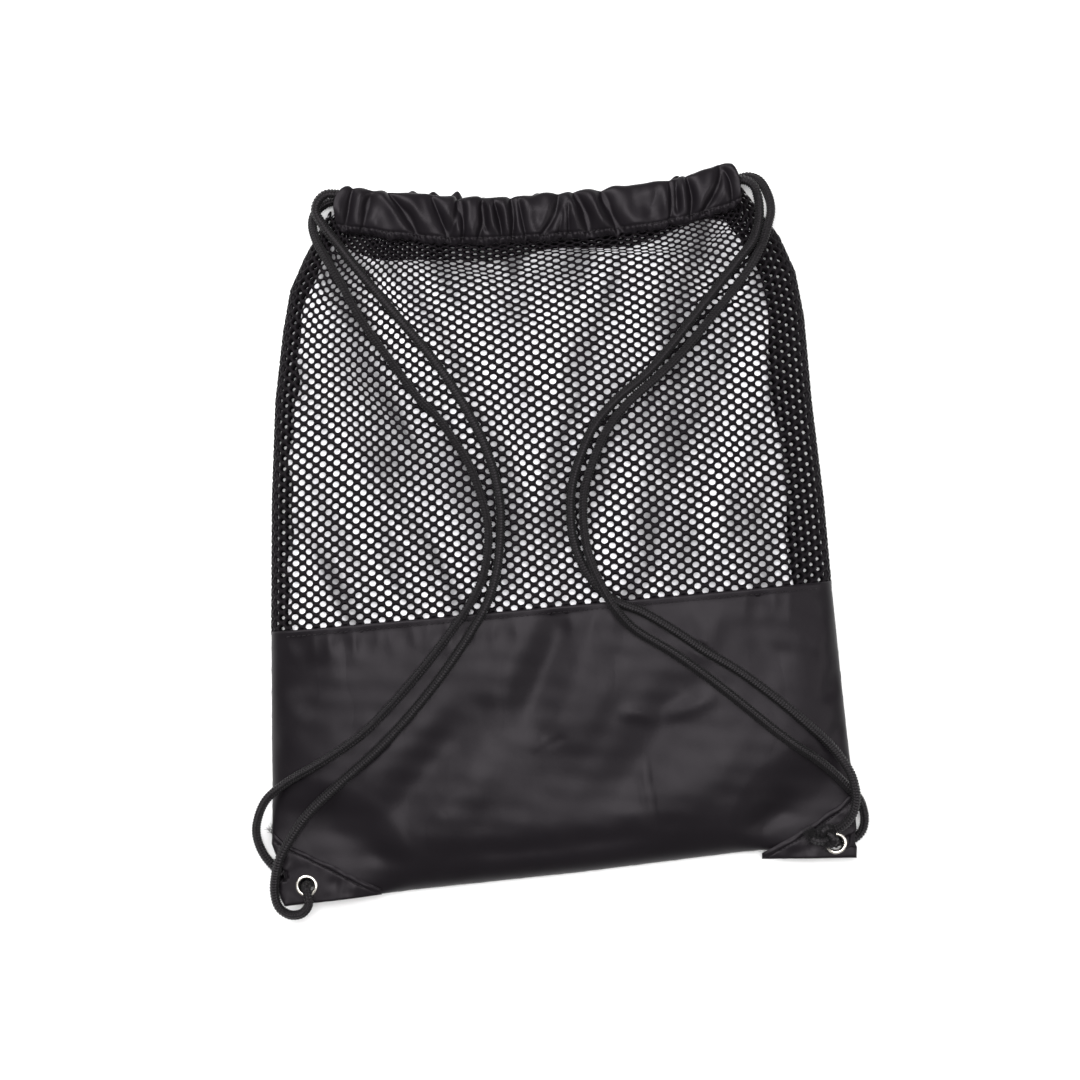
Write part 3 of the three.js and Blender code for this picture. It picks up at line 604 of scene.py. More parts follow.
def make_materials(looks):
    """Every finish of the bag, by name."""
    weave, creases = plain_weave_group(), crease_group()
    made = {}

    material, tree, shader = new_material("satin_nylon", looks.nylon, 0.38, specular=0.12)
    cloth = place_group(tree, weave, Threads=620.0, Unevenness=18.0)
    crease = place_group(tree, creases, Scale=26.0, Sharpness=9.0)
    colour_between(tree, shader, cloth.outputs["Mask"],
                   shade(looks.nylon, 0.8), shade(looks.nylon, 1.25))
    roughness_between(tree, shader, cloth.outputs["Mask"], 0.32, 0.46)
    under = bump(tree, shader, crease.outputs["Height"], 0.0004, 0.35)
    bump(tree, shader, cloth.outputs["Height"], 0.00006, 0.5, under)
    made["nylon"] = material

    material, tree, shader = new_material("knitted_net", looks.net, 0.6, specular=0.08)
    knit = place_group(tree, weave, Threads=420.0, Unevenness=60.0)
    colour_between(tree, shader, knit.outputs["Mask"],
                   shade(looks.net, 0.6), shade(looks.net, 1.5))
    bump(tree, shader, knit.outputs["Height"], 0.00012, 0.7)
    made["net"] = material

    material, tree, shader = new_material("white_liner", looks.liner, 0.85)
    cloth = place_group(tree, weave, Threads=380.0, Unevenness=9.0)
    # Painted shade: the fold-shade mask darkens the liner to 0.3 of its colour in broad bands,
    # where folds would lie in shade.
    folds = place_group(tree, painted_fold_shade_group())
    colour_between(tree, shader, folds.outputs["Mask"],
                   shade(looks.liner, 0.3), shade(looks.liner, 1.0))
    bump(tree, shader, cloth.outputs["Height"], 0.0001, 0.4)
    made["liner"] = material

    material, tree, shader = new_material("braided_cord", looks.cord, 0.42, specular=0.2)
    fibre = place_group(tree, weave, Threads=900.0, Unevenness=240.0)
    colour_between(tree, shader, fibre.outputs["Mask"],
                   shade(looks.cord, 0.6), shade(looks.cord, 1.7))
    bump(tree, shader, fibre.outputs["Height"], 0.0001, 0.6)
    shader.inputs["Sheen Weight"].default_value = 0.05
    made["cord"] = material

    material, tree, shader = new_material("sewing_thread", looks.thread, 0.5, specular=0.25)
    twist = place_group(tree, weave, Threads=1500.0, Unevenness=300.0)
    colour_between(tree, shader, twist.outputs["Mask"],
                   shade(looks.thread, 0.7), shade(looks.thread, 1.6))
    bump(tree, shader, twist.outputs["Height"], 0.00005, 0.6)
    made["thread"] = material

    material, tree, shader = new_material("nickel_eyelet", looks.metal, 0.2, 1.0)
    place = tree.nodes.new("ShaderNodeTexCoord").outputs["Object"]
    wear = noise_node(tree, place, 900.0, 5.0)
    roughness_between(tree, shader, wear, 0.14, 0.34)
    bump(tree, shader, wear, 0.00004, 0.4)
    made["metal"] = material

    material, tree, shader = new_material("pale_floor", (0.9, 0.9, 0.9), 0.9)
    made["floor"] = material
    return made


MATERIALS = {}


def material_named(name):
    if not MATERIALS:
        MATERIALS.update(make_materials(bpy.context.scene.bag_colours))
    return MATERIALS[name]


# ----------------------------------------------------------------------------------- cords

def routed(points):
    placed = []
    for p in points:
        rest = float(front_height(p[0], p[1])) + CORD_RADIUS + CORD_GAP
        placed.append([p[0], p[1], p[2] if len(p) > 2 else rest])
    return placed


def strand_route(name, step):
    parts = STRANDS[name]
    outside = routed(parts["top"] + parts["strand"] + parts["tail"])
    return smooth_path(parts["inside"] + outside, step)


BRAID_COLUMNS = 6.0
YARN_PITCH = 1.8
YARN_LEAN = 0.9
BRAID_CORE, BRAID_RELIEF = 0.74, 0.30      # shares of the cord's radius


def braid(rings, step, first_ring=0, radius=CORD_RADIUS, sides=CORD_SIDES):
    """Radius of a braided cord round and along it: columns of slanting yarns."""
    along_cord = (first_ring + np.arange(rings))[:, None] * step
    column = np.arange(sides)[None] / sides * BRAID_COLUMNS
    index = np.floor(column)
    across = column - index - 0.5
    lean = np.where(index % 2 == 0, 1.0, -1.0)
    turns = along_cord / YARN_PITCH + lean * across * YARN_LEAN
    yarn = 0.5 + 0.5 * np.cos(2 * math.pi * turns)
    groove = 1 - np.abs(2 * across) ** 3
    return radius * (BRAID_CORE + BRAID_RELIEF * groove * (0.12 + 0.88 * yarn ** 0.8))


def build_cords(context):
    """The four strands, each in an upper and a lower length that meet half-way."""
    cord = material_named("cord")
    for name in STRANDS:
        body = STRAP_BODY[name]
        line = strand_route(name, CORD_STEP)
        half = len(line) // 2
        relief = braid(len(line), CORD_STEP)
        grid = tube_grid(line, CORD_SIDES, relief)
        first = np.array(STRANDS[name]["strand"][0], float)
        last = np.array(STRANDS[name]["strand"][-1], float)
        swing = (last - first) / np.linalg.norm(last - first)
        ends = {
            "upper": (0, half + 1, "bag", body, first - 5 * swing, first + 34 * swing,
                      [f"{name}_cord_top", f"{name}_strand"]),
            "lower": (half, len(line), body, "bag", last - 34 * swing, last + 5 * swing,
                      [f"{name}_strand", f"{name}_cord_tail"]),
        }
        for part, (a, b, body_a, body_b, start, end, nodes) in ends.items():
            points, faces = tube_mesh(grid[a:b])
            piece = make_piece(f"{name}_cord_{part}", points, faces, cord, None, nodes)
            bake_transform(piece)
            path = line[a:b:5]
            if (b - a - 1) % 5:
                path = np.vstack([path, line[b - 1]])
    build_casing_runs(cord)
    build_eyelet_cords(cord)


def casing_run(turn_x, turn_offset, outward, lanes):
    start = CASING_LEFT + 12.4 if outward > 0 else CASING_RIGHT - 11.4
    radius = (FRONT_CASING_Z - BACK_CASING_Z) / 2
    middle = (FRONT_CASING_Z + BACK_CASING_Z) / 2
    xs = np.linspace(start, turn_x, 13)
    lane = casing_y(xs) + along(lanes, xs)
    out = [[x, y, FRONT_CASING_Z - 1.2] for x, y in zip(xs, lane)]
    back = [[x, y, BACK_CASING_Z] for x, y in zip(xs[::-1], lane[::-1])]
    turn = []
    for degrees in (30, 60, 90, 120, 150):
        angle = math.radians(degrees)
        x = turn_x + outward * radius * math.sin(angle)
        turn.append([x, float(casing_y(x)) + turn_offset, middle + radius * math.cos(angle)])
    return smooth_path(out + turn + back, 1.5)


def build_casing_runs(cord):
    """Each cord's run through both casings, doubling back inside their far end."""
    runs = {
        "left_cord_casing_run": casing_run(
            CASING_RIGHT - 10.15, 9.6, 1,
            [(-109, 9.5), (-60, 7), (60, 7), (148, 9.6)]),
        "right_cord_casing_run": casing_run(
            CASING_LEFT + 10.15, -5, -1,
            [(-109, -5), (-60, -6), (60, -5), (125, 0.5), (148, 3)]),
    }
    for node, line in runs.items():
        points, faces = tube_mesh(tube_grid(line, 12, CORD_RADIUS * 0.96))
        name = node.replace("casing_run", "in_casing")
        make_piece(name, points, faces, cord, "bag", [node])


def build_eyelet_cords(cord):
    """The short lengths inside the eyelets."""
    for side, corner, low, high in (("left", LEFT_CORNER, 10.9, 20.2),
                                    ("right", RIGHT_CORNER, 3.2, 14.5)):
        line = np.array([[corner["x"], corner["y"], z] for z in np.arange(low, high, 0.4)])
        relief = braid(len(line), 0.4)
        points, faces = tube_mesh(tube_grid(line, CORD_SIDES, relief))
        make_piece(f"{side}_cord_in_eyelet", points, faces, cord, "bag",
                   [f"{side}_eyelet_cord"])


def fibres(centre, heading, count, length, spread, seed, radius=0.16):
    """Loose yarn ends: thin curved tubes that fan out from a point."""
    rng = np.random.default_rng(seed)
    parts = []
    heading = np.array(heading, float) / np.linalg.norm(heading)
    for _ in range(count):
        way = heading + rng.normal(0, spread, 3)
        way /= np.linalg.norm(way)
        bend = rng.normal(0, 0.55, 3)
        reach = length * rng.uniform(0.5, 1.1)
        t = np.linspace(0, 1, 7)[:, None]
        start = np.array(centre, float) + rng.normal(0, 1.1, 3)
        line = start + reach * (way * t + bend * t * t * 0.5)
        line[:, 2] = np.maximum(line[:, 2], 0.5)
        taper = np.linspace(1, 0.45, 7)[:, None] * radius * rng.uniform(0.7, 1.4)
        parts.append(tube_mesh(tube_grid(line, 4, taper)))
    return parts


def knot_line(centre, size, turn):
    """A pulled overhand knot as one closed line, a trefoil squeezed to a size."""
    t = np.linspace(0, 2 * math.pi, 160)
    x = (np.sin(t) + 2 * np.sin(2 * t)) / 3
    y = (np.cos(t) - 2 * np.cos(2 * t)) / 3
    z = -np.sin(3 * t)
    c, s = math.cos(turn), math.sin(turn)
    return np.stack([centre[0] + size[0] * (x * c - y * s),
                     centre[1] + size[1] * (x * s + y * c),
                     centre[2] + size[2] * z], axis=1)


KNOT_RADIUS = 2.5
KNOT_STEP = 0.4
KNOT_SIDES = 24


def build_knots(context):
    """The frayed knot on the right corner and the hidden one under the left corner."""
    cord = material_named("cord")
    for side, centre, size, turn, ways, seed in (
            ("right", (165.2, -212.4, 19.0), (8.2, 6.0, 2.3), 0.5,
             [((-1.0, 0.35, 0.15), 120, 6.5), ((0.2, -1, 0.2), 60, 4.5),
              ((0, 0.8, 0.3), 50, 4)], 5),
            ("left", (-169.5, -210.5, 5.5), (6.4, 6.2, 2.3), 1.1,
             [((-1, 0.3, -0.1), 40, 5)], 9)):
        line = resample(knot_line(centre, size, turn), KNOT_STEP)
        relief = braid(len(line), KNOT_STEP, radius=KNOT_RADIUS, sides=KNOT_SIDES)
        parts = [tube_mesh(tube_grid(line, KNOT_SIDES, relief))]
        for i, (way, count, length) in enumerate(ways):
            where = np.array(centre, float) + np.array(way) * np.array(size) * 0.9
            parts += fibres(where, way, count, length, 0.55, seed + i)
        points, faces = joined(parts)
        make_piece(f"{side}_corner_knot", points, faces, cord, "bag",
                   [f"{side}_knot"])
    tuft = fibres((-185.5, -178.5, 6.5), (-0.5, 0.9, 0.1), 34, 4.5, 0.45, 31, 0.15)
    points, faces = joined(tuft)
    make_piece("left_frayed_tuft", points, faces, cord, "bag")


# ------------------------------------------------------------------ surfaces under the cords

GRID_STEP = 1.0
GRID_LOW = (-215.0, -245.0)
GRID_SIZE = (430, 500)


class CordShadow:
    """How low the cloth has to stay to pass under the cords, on a grid of the bag."""

    def __init__(self):
        self.cap = np.full(GRID_SIZE, 99.0)
        near = np.arange(-4, 5)
        ox, oy = np.meshgrid(near, near, indexing="ij")
        for name in STRANDS:
            line = strand_route(name, 1.0)
            i = np.round((line[:, 0] - GRID_LOW[0]) / GRID_STEP).astype(int)
            j = np.round((line[:, 1] - GRID_LOW[1]) / GRID_STEP).astype(int)
            gx = i[:, None, None] + ox
            gy = j[:, None, None] + oy
            dx = gx * GRID_STEP + GRID_LOW[0] - line[:, 0][:, None, None]
            dy = gy * GRID_STEP + GRID_LOW[1] - line[:, 1][:, None, None]
            inside = CORD_RADIUS ** 2 - dx ** 2 - dy ** 2
            low = line[:, 2][:, None, None] - np.sqrt(np.maximum(inside, 0)) - 0.2
            low = np.where(inside > 0, low, 99.0)
            np.minimum.at(self.cap, (gx, gy), low)

    def at(self, x, y):
        fx = np.clip((x - GRID_LOW[0]) / GRID_STEP, 0, GRID_SIZE[0] - 2)
        fy = np.clip((y - GRID_LOW[1]) / GRID_STEP, 0, GRID_SIZE[1] - 2)
        i, j = fx.astype(int), fy.astype(int)
        corners = [self.cap[i, j], self.cap[i + 1, j], self.cap[i, j + 1], self.cap[i + 1, j + 1]]
        return np.minimum.reduce(corners)


SHADOW = []


def under_cords(x, y, z):
    """z, but no higher than lets the cords lie on top."""
    if not SHADOW:
        SHADOW.append(CordShadow())
    return np.minimum(z, SHADOW[0].at(x, y))


# The distance across a rounded side, by the distance along its curve.
ROLL_ANGLE = np.linspace(0, math.pi / 2, 200)
ROLL_ACROSS = SIDE_ROLL * (1 - np.cos(ROLL_ANGLE))
ROLL_UP = (CROWN_HEIGHT - EDGE_HEIGHT) * np.sin(ROLL_ANGLE)
ROLL_RUN = np.concatenate([[0], np.cumsum(np.hypot(np.diff(ROLL_ACROSS), np.diff(ROLL_UP)))])
ROLL_EXTRA = ROLL_RUN[-1] - SIDE_ROLL


def across_roll(run):
    return np.where(run < ROLL_RUN[-1], np.interp(run, ROLL_RUN, ROLL_ACROSS), run - ROLL_EXTRA)


def edge_sink(x, y):
    """How far the front comes down past its edge height to meet the back at the sides."""
    from_side = np.minimum(x - left_side(y), right_side(y) - x)
    return 1.7 * (1 - quarter_round(from_side / 12))


# ------------------------------------------------------------------------- nylon panels

def punched(x, y):
    return np.minimum(corner_distance(LEFT_CORNER, x, y),
                      corner_distance(RIGHT_CORNER, x, y)) > 5.7


def lower_grid(step):
    """Grid points of the lower panel, closer together where it rolls over."""
    width = 368 + 2 * ROLL_EXTRA
    runs = np.linspace(0, width, round(width / step) + 1)
    height = SEAM_Y - BOTTOM_Y + ROLL_EXTRA
    ups = np.linspace(0, height, round(height / step) + 1)
    y = (BOTTOM_Y + across_roll(ups))[:, None] * np.ones_like(runs)[None]
    left, right = left_side(y), right_side(y)
    scale = (right - left) / 368
    near_left = across_roll(runs)[None]
    near_right = 368 - across_roll(width - runs)[None]
    x = left + np.where(runs[None] < width / 2, near_left, near_right) * scale
    return x, y


def nylon_height(x, y):
    """Top of the front nylon panel with its folds."""
    z = front_height(x, y) + 0.5 - edge_sink(x, y)
    z -= 1.2 * (1 - quarter_round((y - BOTTOM_Y) / 12))
    near_edge = smooth((y - BOTTOM_Y) / 25) * smooth((SEAM_Y - y) / 6)
    z += fold_field(x, y, NYLON_FOLDS) * (0.25 + 0.75 * near_edge)
    z += 0.35 * ripples(x, y, 3, 60) * near_edge + 0.12 * ripples(x, y, 8, 17) * near_edge
    # short puckers below the stitched hem
    puckers = np.abs(ripples(x, y * 0.15, 21, 16, 4))
    z += 0.9 * (0.5 - puckers) * np.exp(-((y - (SEAM_Y - 11)) / 9) ** 2)
    # the folded hem and the line that its stitches pull down
    z += 0.5 * smooth((y - (SEAM_Y - 4.6)) / 1.2)
    z -= 0.45 * np.exp(-((y - (SEAM_Y - 4)) / 0.9) ** 2)
    z = under_cords(x, y, z)
    return np.maximum(z, corner_lift(x, y) + 1.6)


def build_lower_panels(context):
    nylon = material_named("nylon")
    x, y = lower_grid(1.8)
    z = nylon_height(x, y)
    y = y + bottom_rise(x, y)
    points, faces = closed_sheet(np.stack([x, y, z], axis=-1), 0.5, punched)
    front = make_piece("front_nylon_panel", points, faces, nylon, "bag",
                       ["front_lower_panel"])

    x, y = lower_grid(4.0)
    z = corner_lift(x, y) + 0.75 + 0.15 * ripples(x, y, 4, 50)
    y = y + bottom_rise(x, y)
    points, faces = closed_sheet(np.stack([x, y, z], axis=-1), 0.5, punched)
    back = make_piece("back_nylon_panel", points, faces, nylon, "bag",
                      ["back_lower_panel"])


# ----------------------------------------------------------------------------- the net

def build_hex_cells(sizes, width, height, hole_share):
    """Flat lattice of the net: cell centres, cell outlines and hole outlines."""
    px, py = sizes.column_pitch / MM, sizes.row_pitch / MM
    hx, hy = (hole_share * d / MM / 2 for d in (sizes.hole_width, sizes.hole_height))
    inner, outer = px / 2 - py * py / (8 * px), px / 2 + py * py / (8 * px)
    corners = [(outer, 0), (inner, py / 2), (-inner, py / 2), (-outer, 0),
               (-inner, -py / 2), (inner, -py / 2)]
    outline = []
    for k in range(6):
        a, b = np.array(corners[k]), np.array(corners[(k + 1) % 6])
        outline += [a, (a + b) / 2]
    outline = np.array(outline)
    angle = np.arctan2(outline[:, 1], outline[:, 0])
    reach = 1 / np.sqrt((np.cos(angle) / hx) ** 2 + (np.sin(angle) / hy) ** 2)
    hole = np.stack([reach * np.cos(angle), reach * np.sin(angle)], axis=1)
    columns = int(width / 2 / px)
    rows = int(height / py)
    centres = [(i * px, j * py + (i % 2) * py / 2)
               for i in range(-columns, columns + 1) for j in range(rows)]
    return np.array(centres), outline, hole


def net_mesh(sizes, place, width, height, thickness, hole_share=1.0):
    """Points and faces of the net, with place(s, t) giving each flat point's position."""
    centres, outline, hole = build_hex_cells(sizes, width, height, hole_share)
    rim = (centres[:, None] + outline[None]).reshape(-1, 2)
    _, first, index = np.unique(np.round(rim * 50).astype(int), axis=0,
                                return_index=True, return_inverse=True)
    index = index.reshape(-1)
    rim = rim[first]
    holes = (centres[:, None] + hole[None]).reshape(-1, 2)
    flat = np.vstack([rim, holes])
    s, t = flat[:, 0], flat[:, 1]
    at = np.stack(place(s, t), axis=1)
    ds = np.stack(place(s + 0.3, t), axis=1) - at
    dt = np.stack(place(s, t + 0.3), axis=1) - at
    n = np.cross(ds, dt)
    n /= np.maximum(np.linalg.norm(n, axis=1), 1e-9)[:, None]
    count = len(rim)
    points = np.vstack([at[:count] + n[:count] * thickness / 2,
                        at[:count] - n[:count] * thickness / 2, at[count:]])
    cells = index.reshape(-1, 12)
    ring = np.arange(len(centres) * 12).reshape(-1, 12) + 2 * count
    nxt = np.roll(cells, -1, axis=1)
    ring_nxt = np.roll(ring, -1, axis=1)
    top = np.stack([cells, nxt, ring_nxt, ring], axis=-1).reshape(-1, 4)
    low = np.stack([nxt + count, cells + count, ring, ring_nxt], axis=-1).reshape(-1, 4)
    edges = np.stack([cells, nxt], axis=-1).reshape(-1, 2)
    _, where, times = np.unique(np.sort(edges, axis=1), axis=0, return_index=True,
                                return_counts=True)
    open_edges = edges[where[times == 1]]
    walls = np.stack([open_edges[:, 1], open_edges[:, 0], open_edges[:, 0] + count,
                      open_edges[:, 1] + count], axis=-1)
    return points, [top, low, walls]


NET_BOTTOM = SEAM_Y - 2.0
NET_WIDTH = 361.0 + 2 * ROLL_EXTRA
NET_LENGTH = 284.0
BACK_HOLE_SHARE = 0.6


def gather(q):
    q = np.clip(q, 0, 1)
    return (1 - q) ** 2 * (1 + 2 * q)


def net_plan(s, t):
    """x and y of a point of the flat net once it is on the bag."""
    y = NET_BOTTOM + t * 0.86
    for _ in range(3):
        left, right = left_side(y) - ROLL_EXTRA, right_side(y) + ROLL_EXTRA
        left0, right0 = left_side(SEAM_Y) - ROLL_EXTRA, right_side(SEAM_Y) + ROLL_EXTRA
        s0 = s + (left0 + right0) / 2
        run = s0 + (left - left0) * gather((s0 - left0) / 150)
        run = run + (right - right0) * gather((right0 - s0) / 110)
        u = np.clip((run - left) / (right - left), 0, 1)
        at = LEFT_SIDE[-1][1] + u * (RIGHT_SIDE[-1][1] - LEFT_SIDE[-1][1])
        shoulder = 3.5 + 11 * smooth((-94 - at) / 9) + 15 * smooth((at - 140) / 9)
        top = net_top(u) + 2.5 + shoulder
        k = NET_LENGTH / (top - NET_BOTTOM) - 1
        share = t / NET_LENGTH
        y = NET_BOTTOM + (top - NET_BOTTOM) * ((1 + k) * share - k * share ** 5)
    from_left, from_right = run - left, right - run
    x = np.where(from_left < from_right,
                 left_side(y) + across_roll(np.maximum(from_left, 0)),
                 right_side(y) - across_roll(np.maximum(from_right, 0)))
    return x, y


NET_HALF_THICKNESS = 0.35


def net_inner(x, y):
    """How far a place is from the net's seams: 0 on them, 1 well inside."""
    return smooth((y - NET_BOTTOM) / 14) * smooth(np.minimum(
        x - left_side(y), right_side(y) - x) / 30)


def net_height(x, y, inner):
    """The middle of the front net's thickness, with its folds and under the cords."""
    z = front_height(x, y) - 0.1 - edge_sink(x, y)
    z = z + (fold_field(x, y, NET_FOLDS) * 0.8 + 0.3 * ripples(x, y, 15, 34)) * inner
    return under_cords(x, y, z + NET_HALF_THICKNESS) - NET_HALF_THICKNESS


def front_net_place(s, t):
    x, y = net_plan(s, t)
    inner = net_inner(x, y)
    px, py = pinch(x, y, NET_FOLDS, 1.3)
    x, y = x + (px - x) * inner, y + (py - y) * inner
    return x, y, net_height(x, y, inner)


def lowest_net(x, y, reach):
    """The net's lowest height within reach, as the liner's grid is coarser than its dips."""
    steps = (-reach, -reach / 2, 0, reach / 2, reach)
    return np.minimum.reduce([
        net_height(x + dx, y + dy, net_inner(x + dx, y + dy)) for dx in steps for dy in steps])


def back_net_place(s, t):
    x, y = net_plan(s, t)
    return x, y, 0.6 + 0.1 * ripples(x, y, 12, 40)


def build_net(context):
    net = material_named("net")
    sizes = context.scene.bag_sizes
    thickness = sizes.net_thickness / MM
    points, faces = net_mesh(sizes, front_net_place, NET_WIDTH, NET_LENGTH, thickness)
    front = make_piece("front_net", points, faces, net, "bag", ["front_net_panel"])
    holes = math.pi / 4 * sizes.hole_width * sizes.hole_height
    holes /= sizes.column_pitch * sizes.row_pitch
    points, faces = net_mesh(sizes, back_net_place, NET_WIDTH, NET_LENGTH, thickness,
                             BACK_HOLE_SHARE)
    back = make_piece("back_net", points, faces, net, "bag", ["back_net_panel"])


LINER_ROWS, LINER_COLUMNS = 150, 140
LINER_BOTTOM = -180
LINER_TOP_GAP = 6
LINER_LEFT_GAP, LINER_RIGHT_GAP = 13, 25
LINER_THICKNESS = 0.4
LINER_LOWEST = 2.2
# How far the liner stays below what lies on it.
BELOW_FRONT, BELOW_CORDS, BELOW_NYLON, BELOW_NET = 1.5, 2.0, 1.6, 0.9
NET_REACH = 2.6
SEAM_OVERLAP = 3


def build_liner(context):
    """The white sheet that lies loose behind the net."""
    cloth = material_named("liner")
    v, u = np.meshgrid(np.linspace(0, 1, LINER_ROWS), np.linspace(0, 1, LINER_COLUMNS),
                       indexing="ij")
    y = LINER_BOTTOM + v * (net_top(u) - LINER_TOP_GAP - LINER_BOTTOM)
    y -= v ** 6 * (7 * np.exp(-((u - 0.2) / 0.13) ** 2) + 2 * np.sin(u * 19))
    left = left_side(y) + LINER_LEFT_GAP + 1.6 * np.sin(y / 13) + 1.2 * np.sin(y / 5.1)
    right = right_side(y) - LINER_RIGHT_GAP + 1.8 * np.sin(y / 17)
    x = left + u * (right - left)
    z = front_height(x, y) - 2.2
    z += np.minimum(2.4 * fold_field(x, y, LINER_FOLDS), 0.9) + 0.35 * ripples(x, y, 30, 45)
    z += 0.25 * ripples(x, y, 33, 14)
    near_rim = np.minimum(np.minimum(u, 1 - u) * 330, (1 - v) * 360)
    z -= 1.6 * (1 - smooth(near_rim / 9))
    z = np.minimum(z, front_height(x, y) - BELOW_FRONT)
    z = under_cords(x, y, z + BELOW_CORDS) - BELOW_CORDS
    under_nylon = np.minimum(z, nylon_height(x, y) - BELOW_NYLON)
    z = np.where(y < SEAM_Y + SEAM_OVERLAP, under_nylon, z)
    under_net = np.minimum(z, lowest_net(x, y, NET_REACH) - BELOW_NET)
    z = np.where(y > SEAM_Y - SEAM_OVERLAP, under_net, z)
    z = np.maximum(z, LINER_LOWEST)
    points, faces = closed_sheet(np.stack([x, y, z], axis=-1), LINER_THICKNESS)
    liner = make_piece("loose_white_liner", points, faces, cloth, "bag",
                       ["inner_liner"])


# ------------------------------------------------------------------------------ casings

def casing_shape(z_middle, folds, lumps, seed):
    """Gathered tube: rings along the casing by points round it."""
    rings, sides = 420, 96
    x = np.linspace(CASING_LEFT - 1.5, CASING_RIGHT + 0.5, rings)
    angle = np.arange(sides) / sides * 2 * math.pi
    c, s = np.cos(angle)[None], np.sin(angle)[None]
    up = np.sign(c) * np.abs(c) ** 0.85
    face = np.sign(s) * np.abs(s) ** 0.6
    xx = x[:, None] + 0 * up
    relief, drawn = np.zeros_like(xx), np.zeros_like(xx)
    for low_x, high_x, width, depth, reach_low, reach_high, bow in folds:
        line = low_x + (high_x - low_x) * (up + 1) / 2 + bow * (1 - up ** 2)
        side = (xx - line) / width
        taper = smooth((up - reach_low) / 0.5 + 0.5) * smooth((reach_high - up) / 0.5 + 0.5)
        valley = np.exp(-np.abs(side) ** 1.25)
        ridges = np.exp(-((side - 2.5) / 1.8) ** 2) + 0.8 * np.exp(-((side + 2.2) / 1.4) ** 2)
        relief += depth * taper * (0.42 * ridges - 1.25 * valley)
        drawn += depth * taper * valley
    relief += 0.9 * ripples(xx, up * 12, seed, 17) + 0.12 * ripples(xx, up * 5, seed + 1, 6)
    # the fabric is pulled in where it is folded deepest, so both edges are uneven
    edge = -0.42 * drawn * np.abs(up) ** 2
    edge += (0.8 * ripples(xx, 0 * xx, seed + 2, 14) + 0.3) * np.abs(up) ** 3
    from_left, from_right = xx - x[0], x[-1] - xx
    edge -= (1.4 * np.exp(-from_left / 4) + 2.6 * np.exp(-from_right / 5)) * np.abs(up) ** 2
    y = casing_y(x)[:, None] + CASING_HALF_HEIGHT * up + edge * np.sign(up)
    xx = xx + np.where(up > 0, 7.5, 1.5) * up ** 2 * np.exp(-from_left / 11)
    xx = xx - np.where(up > 0, 4.5, 0.5) * up ** 2 * np.exp(-from_right / 9)
    y = y - (1.0 * ripples(xx, 0 * xx, seed + 8, 5.5) + 0.4) * np.clip(-up, 0, 1) ** 8
    ruffle = 0.9 * np.sin(xx * 1.9 + 1.5 * np.sin(xx * 0.31)) * np.exp(-((up + 0.86) / 0.1) ** 2)
    stitched = -0.9 * np.exp(-((up + 0.74) / 0.05) ** 2)
    thick = CASING_HALF_THICKNESS + 0.9
    front = thick + relief * (0.35 + 0.65 * np.abs(face)) + ruffle + stitched
    back = CASING_HALF_THICKNESS * 0.9 + 0.5 * ripples(xx, up * 12, seed + 5, 9)
    z = z_middle + np.where(s > 0, np.maximum(front, 2.4), back) * face
    for where, height in lumps:
        bulge = np.exp(-((xx - where) / 4.2) ** 2)
        y = y + bulge * height * np.clip(c, 0, 1) ** 4
    return np.stack([xx + 0.25 * relief * np.abs(up), y, z], axis=-1)


def open_tube(grid, wall):
    """Points and faces of a tube that is open at both ends and has a wall."""
    rings, sides = grid.shape[:2]
    du = np.gradient(grid, axis=0)
    dv = np.roll(grid, -1, axis=1) - np.roll(grid, 1, axis=1)
    n = np.cross(dv, du)
    n /= np.maximum(np.linalg.norm(n, axis=2), 1e-9)[:, :, None]
    centre = grid.mean(axis=1, keepdims=True)
    n *= np.sign(((grid - centre) * n).sum(axis=2).mean())
    inner = grid - n * wall
    i = np.arange(rings - 1)[:, None] * sides
    j = np.arange(sides)[None]
    k = (j + 1) % sides
    outer = np.stack([i + j, i + sides + j, i + sides + k, i + k], axis=-1).reshape(-1, 4)
    shift = rings * sides
    faces = [outer, outer[:, ::-1] + shift]
    for base, flip in ((0, False), ((rings - 1) * sides, True)):
        j1, k1 = j[0] + base, k[0] + base
        wall_faces = np.stack([j1, k1, k1 + shift, j1 + shift], axis=-1)
        faces.append(wall_faces[:, ::-1] if flip else wall_faces)
    return np.vstack([grid.reshape(-1, 3), inner.reshape(-1, 3)]), faces


def build_casings(context):
    nylon = material_named("nylon")
    back_lumps = [(-46, 4.5), (-31, 5.5), (-60, 3), (20, 2), (70, 2), (110, 2)]
    back_folds = [(f[0] + 7, f[1] + 3, f[2], f[3] * 0.6, *f[4:]) for f in CASING_FOLDS]
    for name, middle, folds, seed, lumps, node in (
            ("front_gathered_casing", FRONT_CASING_Z, CASING_FOLDS, 2, [], "front_casing"),
            ("back_gathered_casing", BACK_CASING_Z + 0.2, back_folds, 7, back_lumps,
             "back_casing")):
        grid = casing_shape(middle, folds, lumps, seed)
        grid[:, :, 2] = np.maximum(grid[:, :, 2], 0.3)
        points, faces = open_tube(grid, 0.35)
        piece = make_piece(name, points, faces, nylon, "bag", [node])


# ---------------------------------------------------------------------- corner patches

def patch_height(x, y):
    return front_height(x, np.maximum(y, BOTTOM_Y)) + PATCH_GAP


def patch_tall(corner, across):
    return corner["up"] + (PATCH_TIP - corner["up"]) * across ** 0.9


def patch_rise(corner, across, up):
    """How far the patch's lower edge follows the bottom edge of the bag."""
    low, high = corner["rise"]
    return (low + (high - low) * across) * (1 - up * (1 - across))


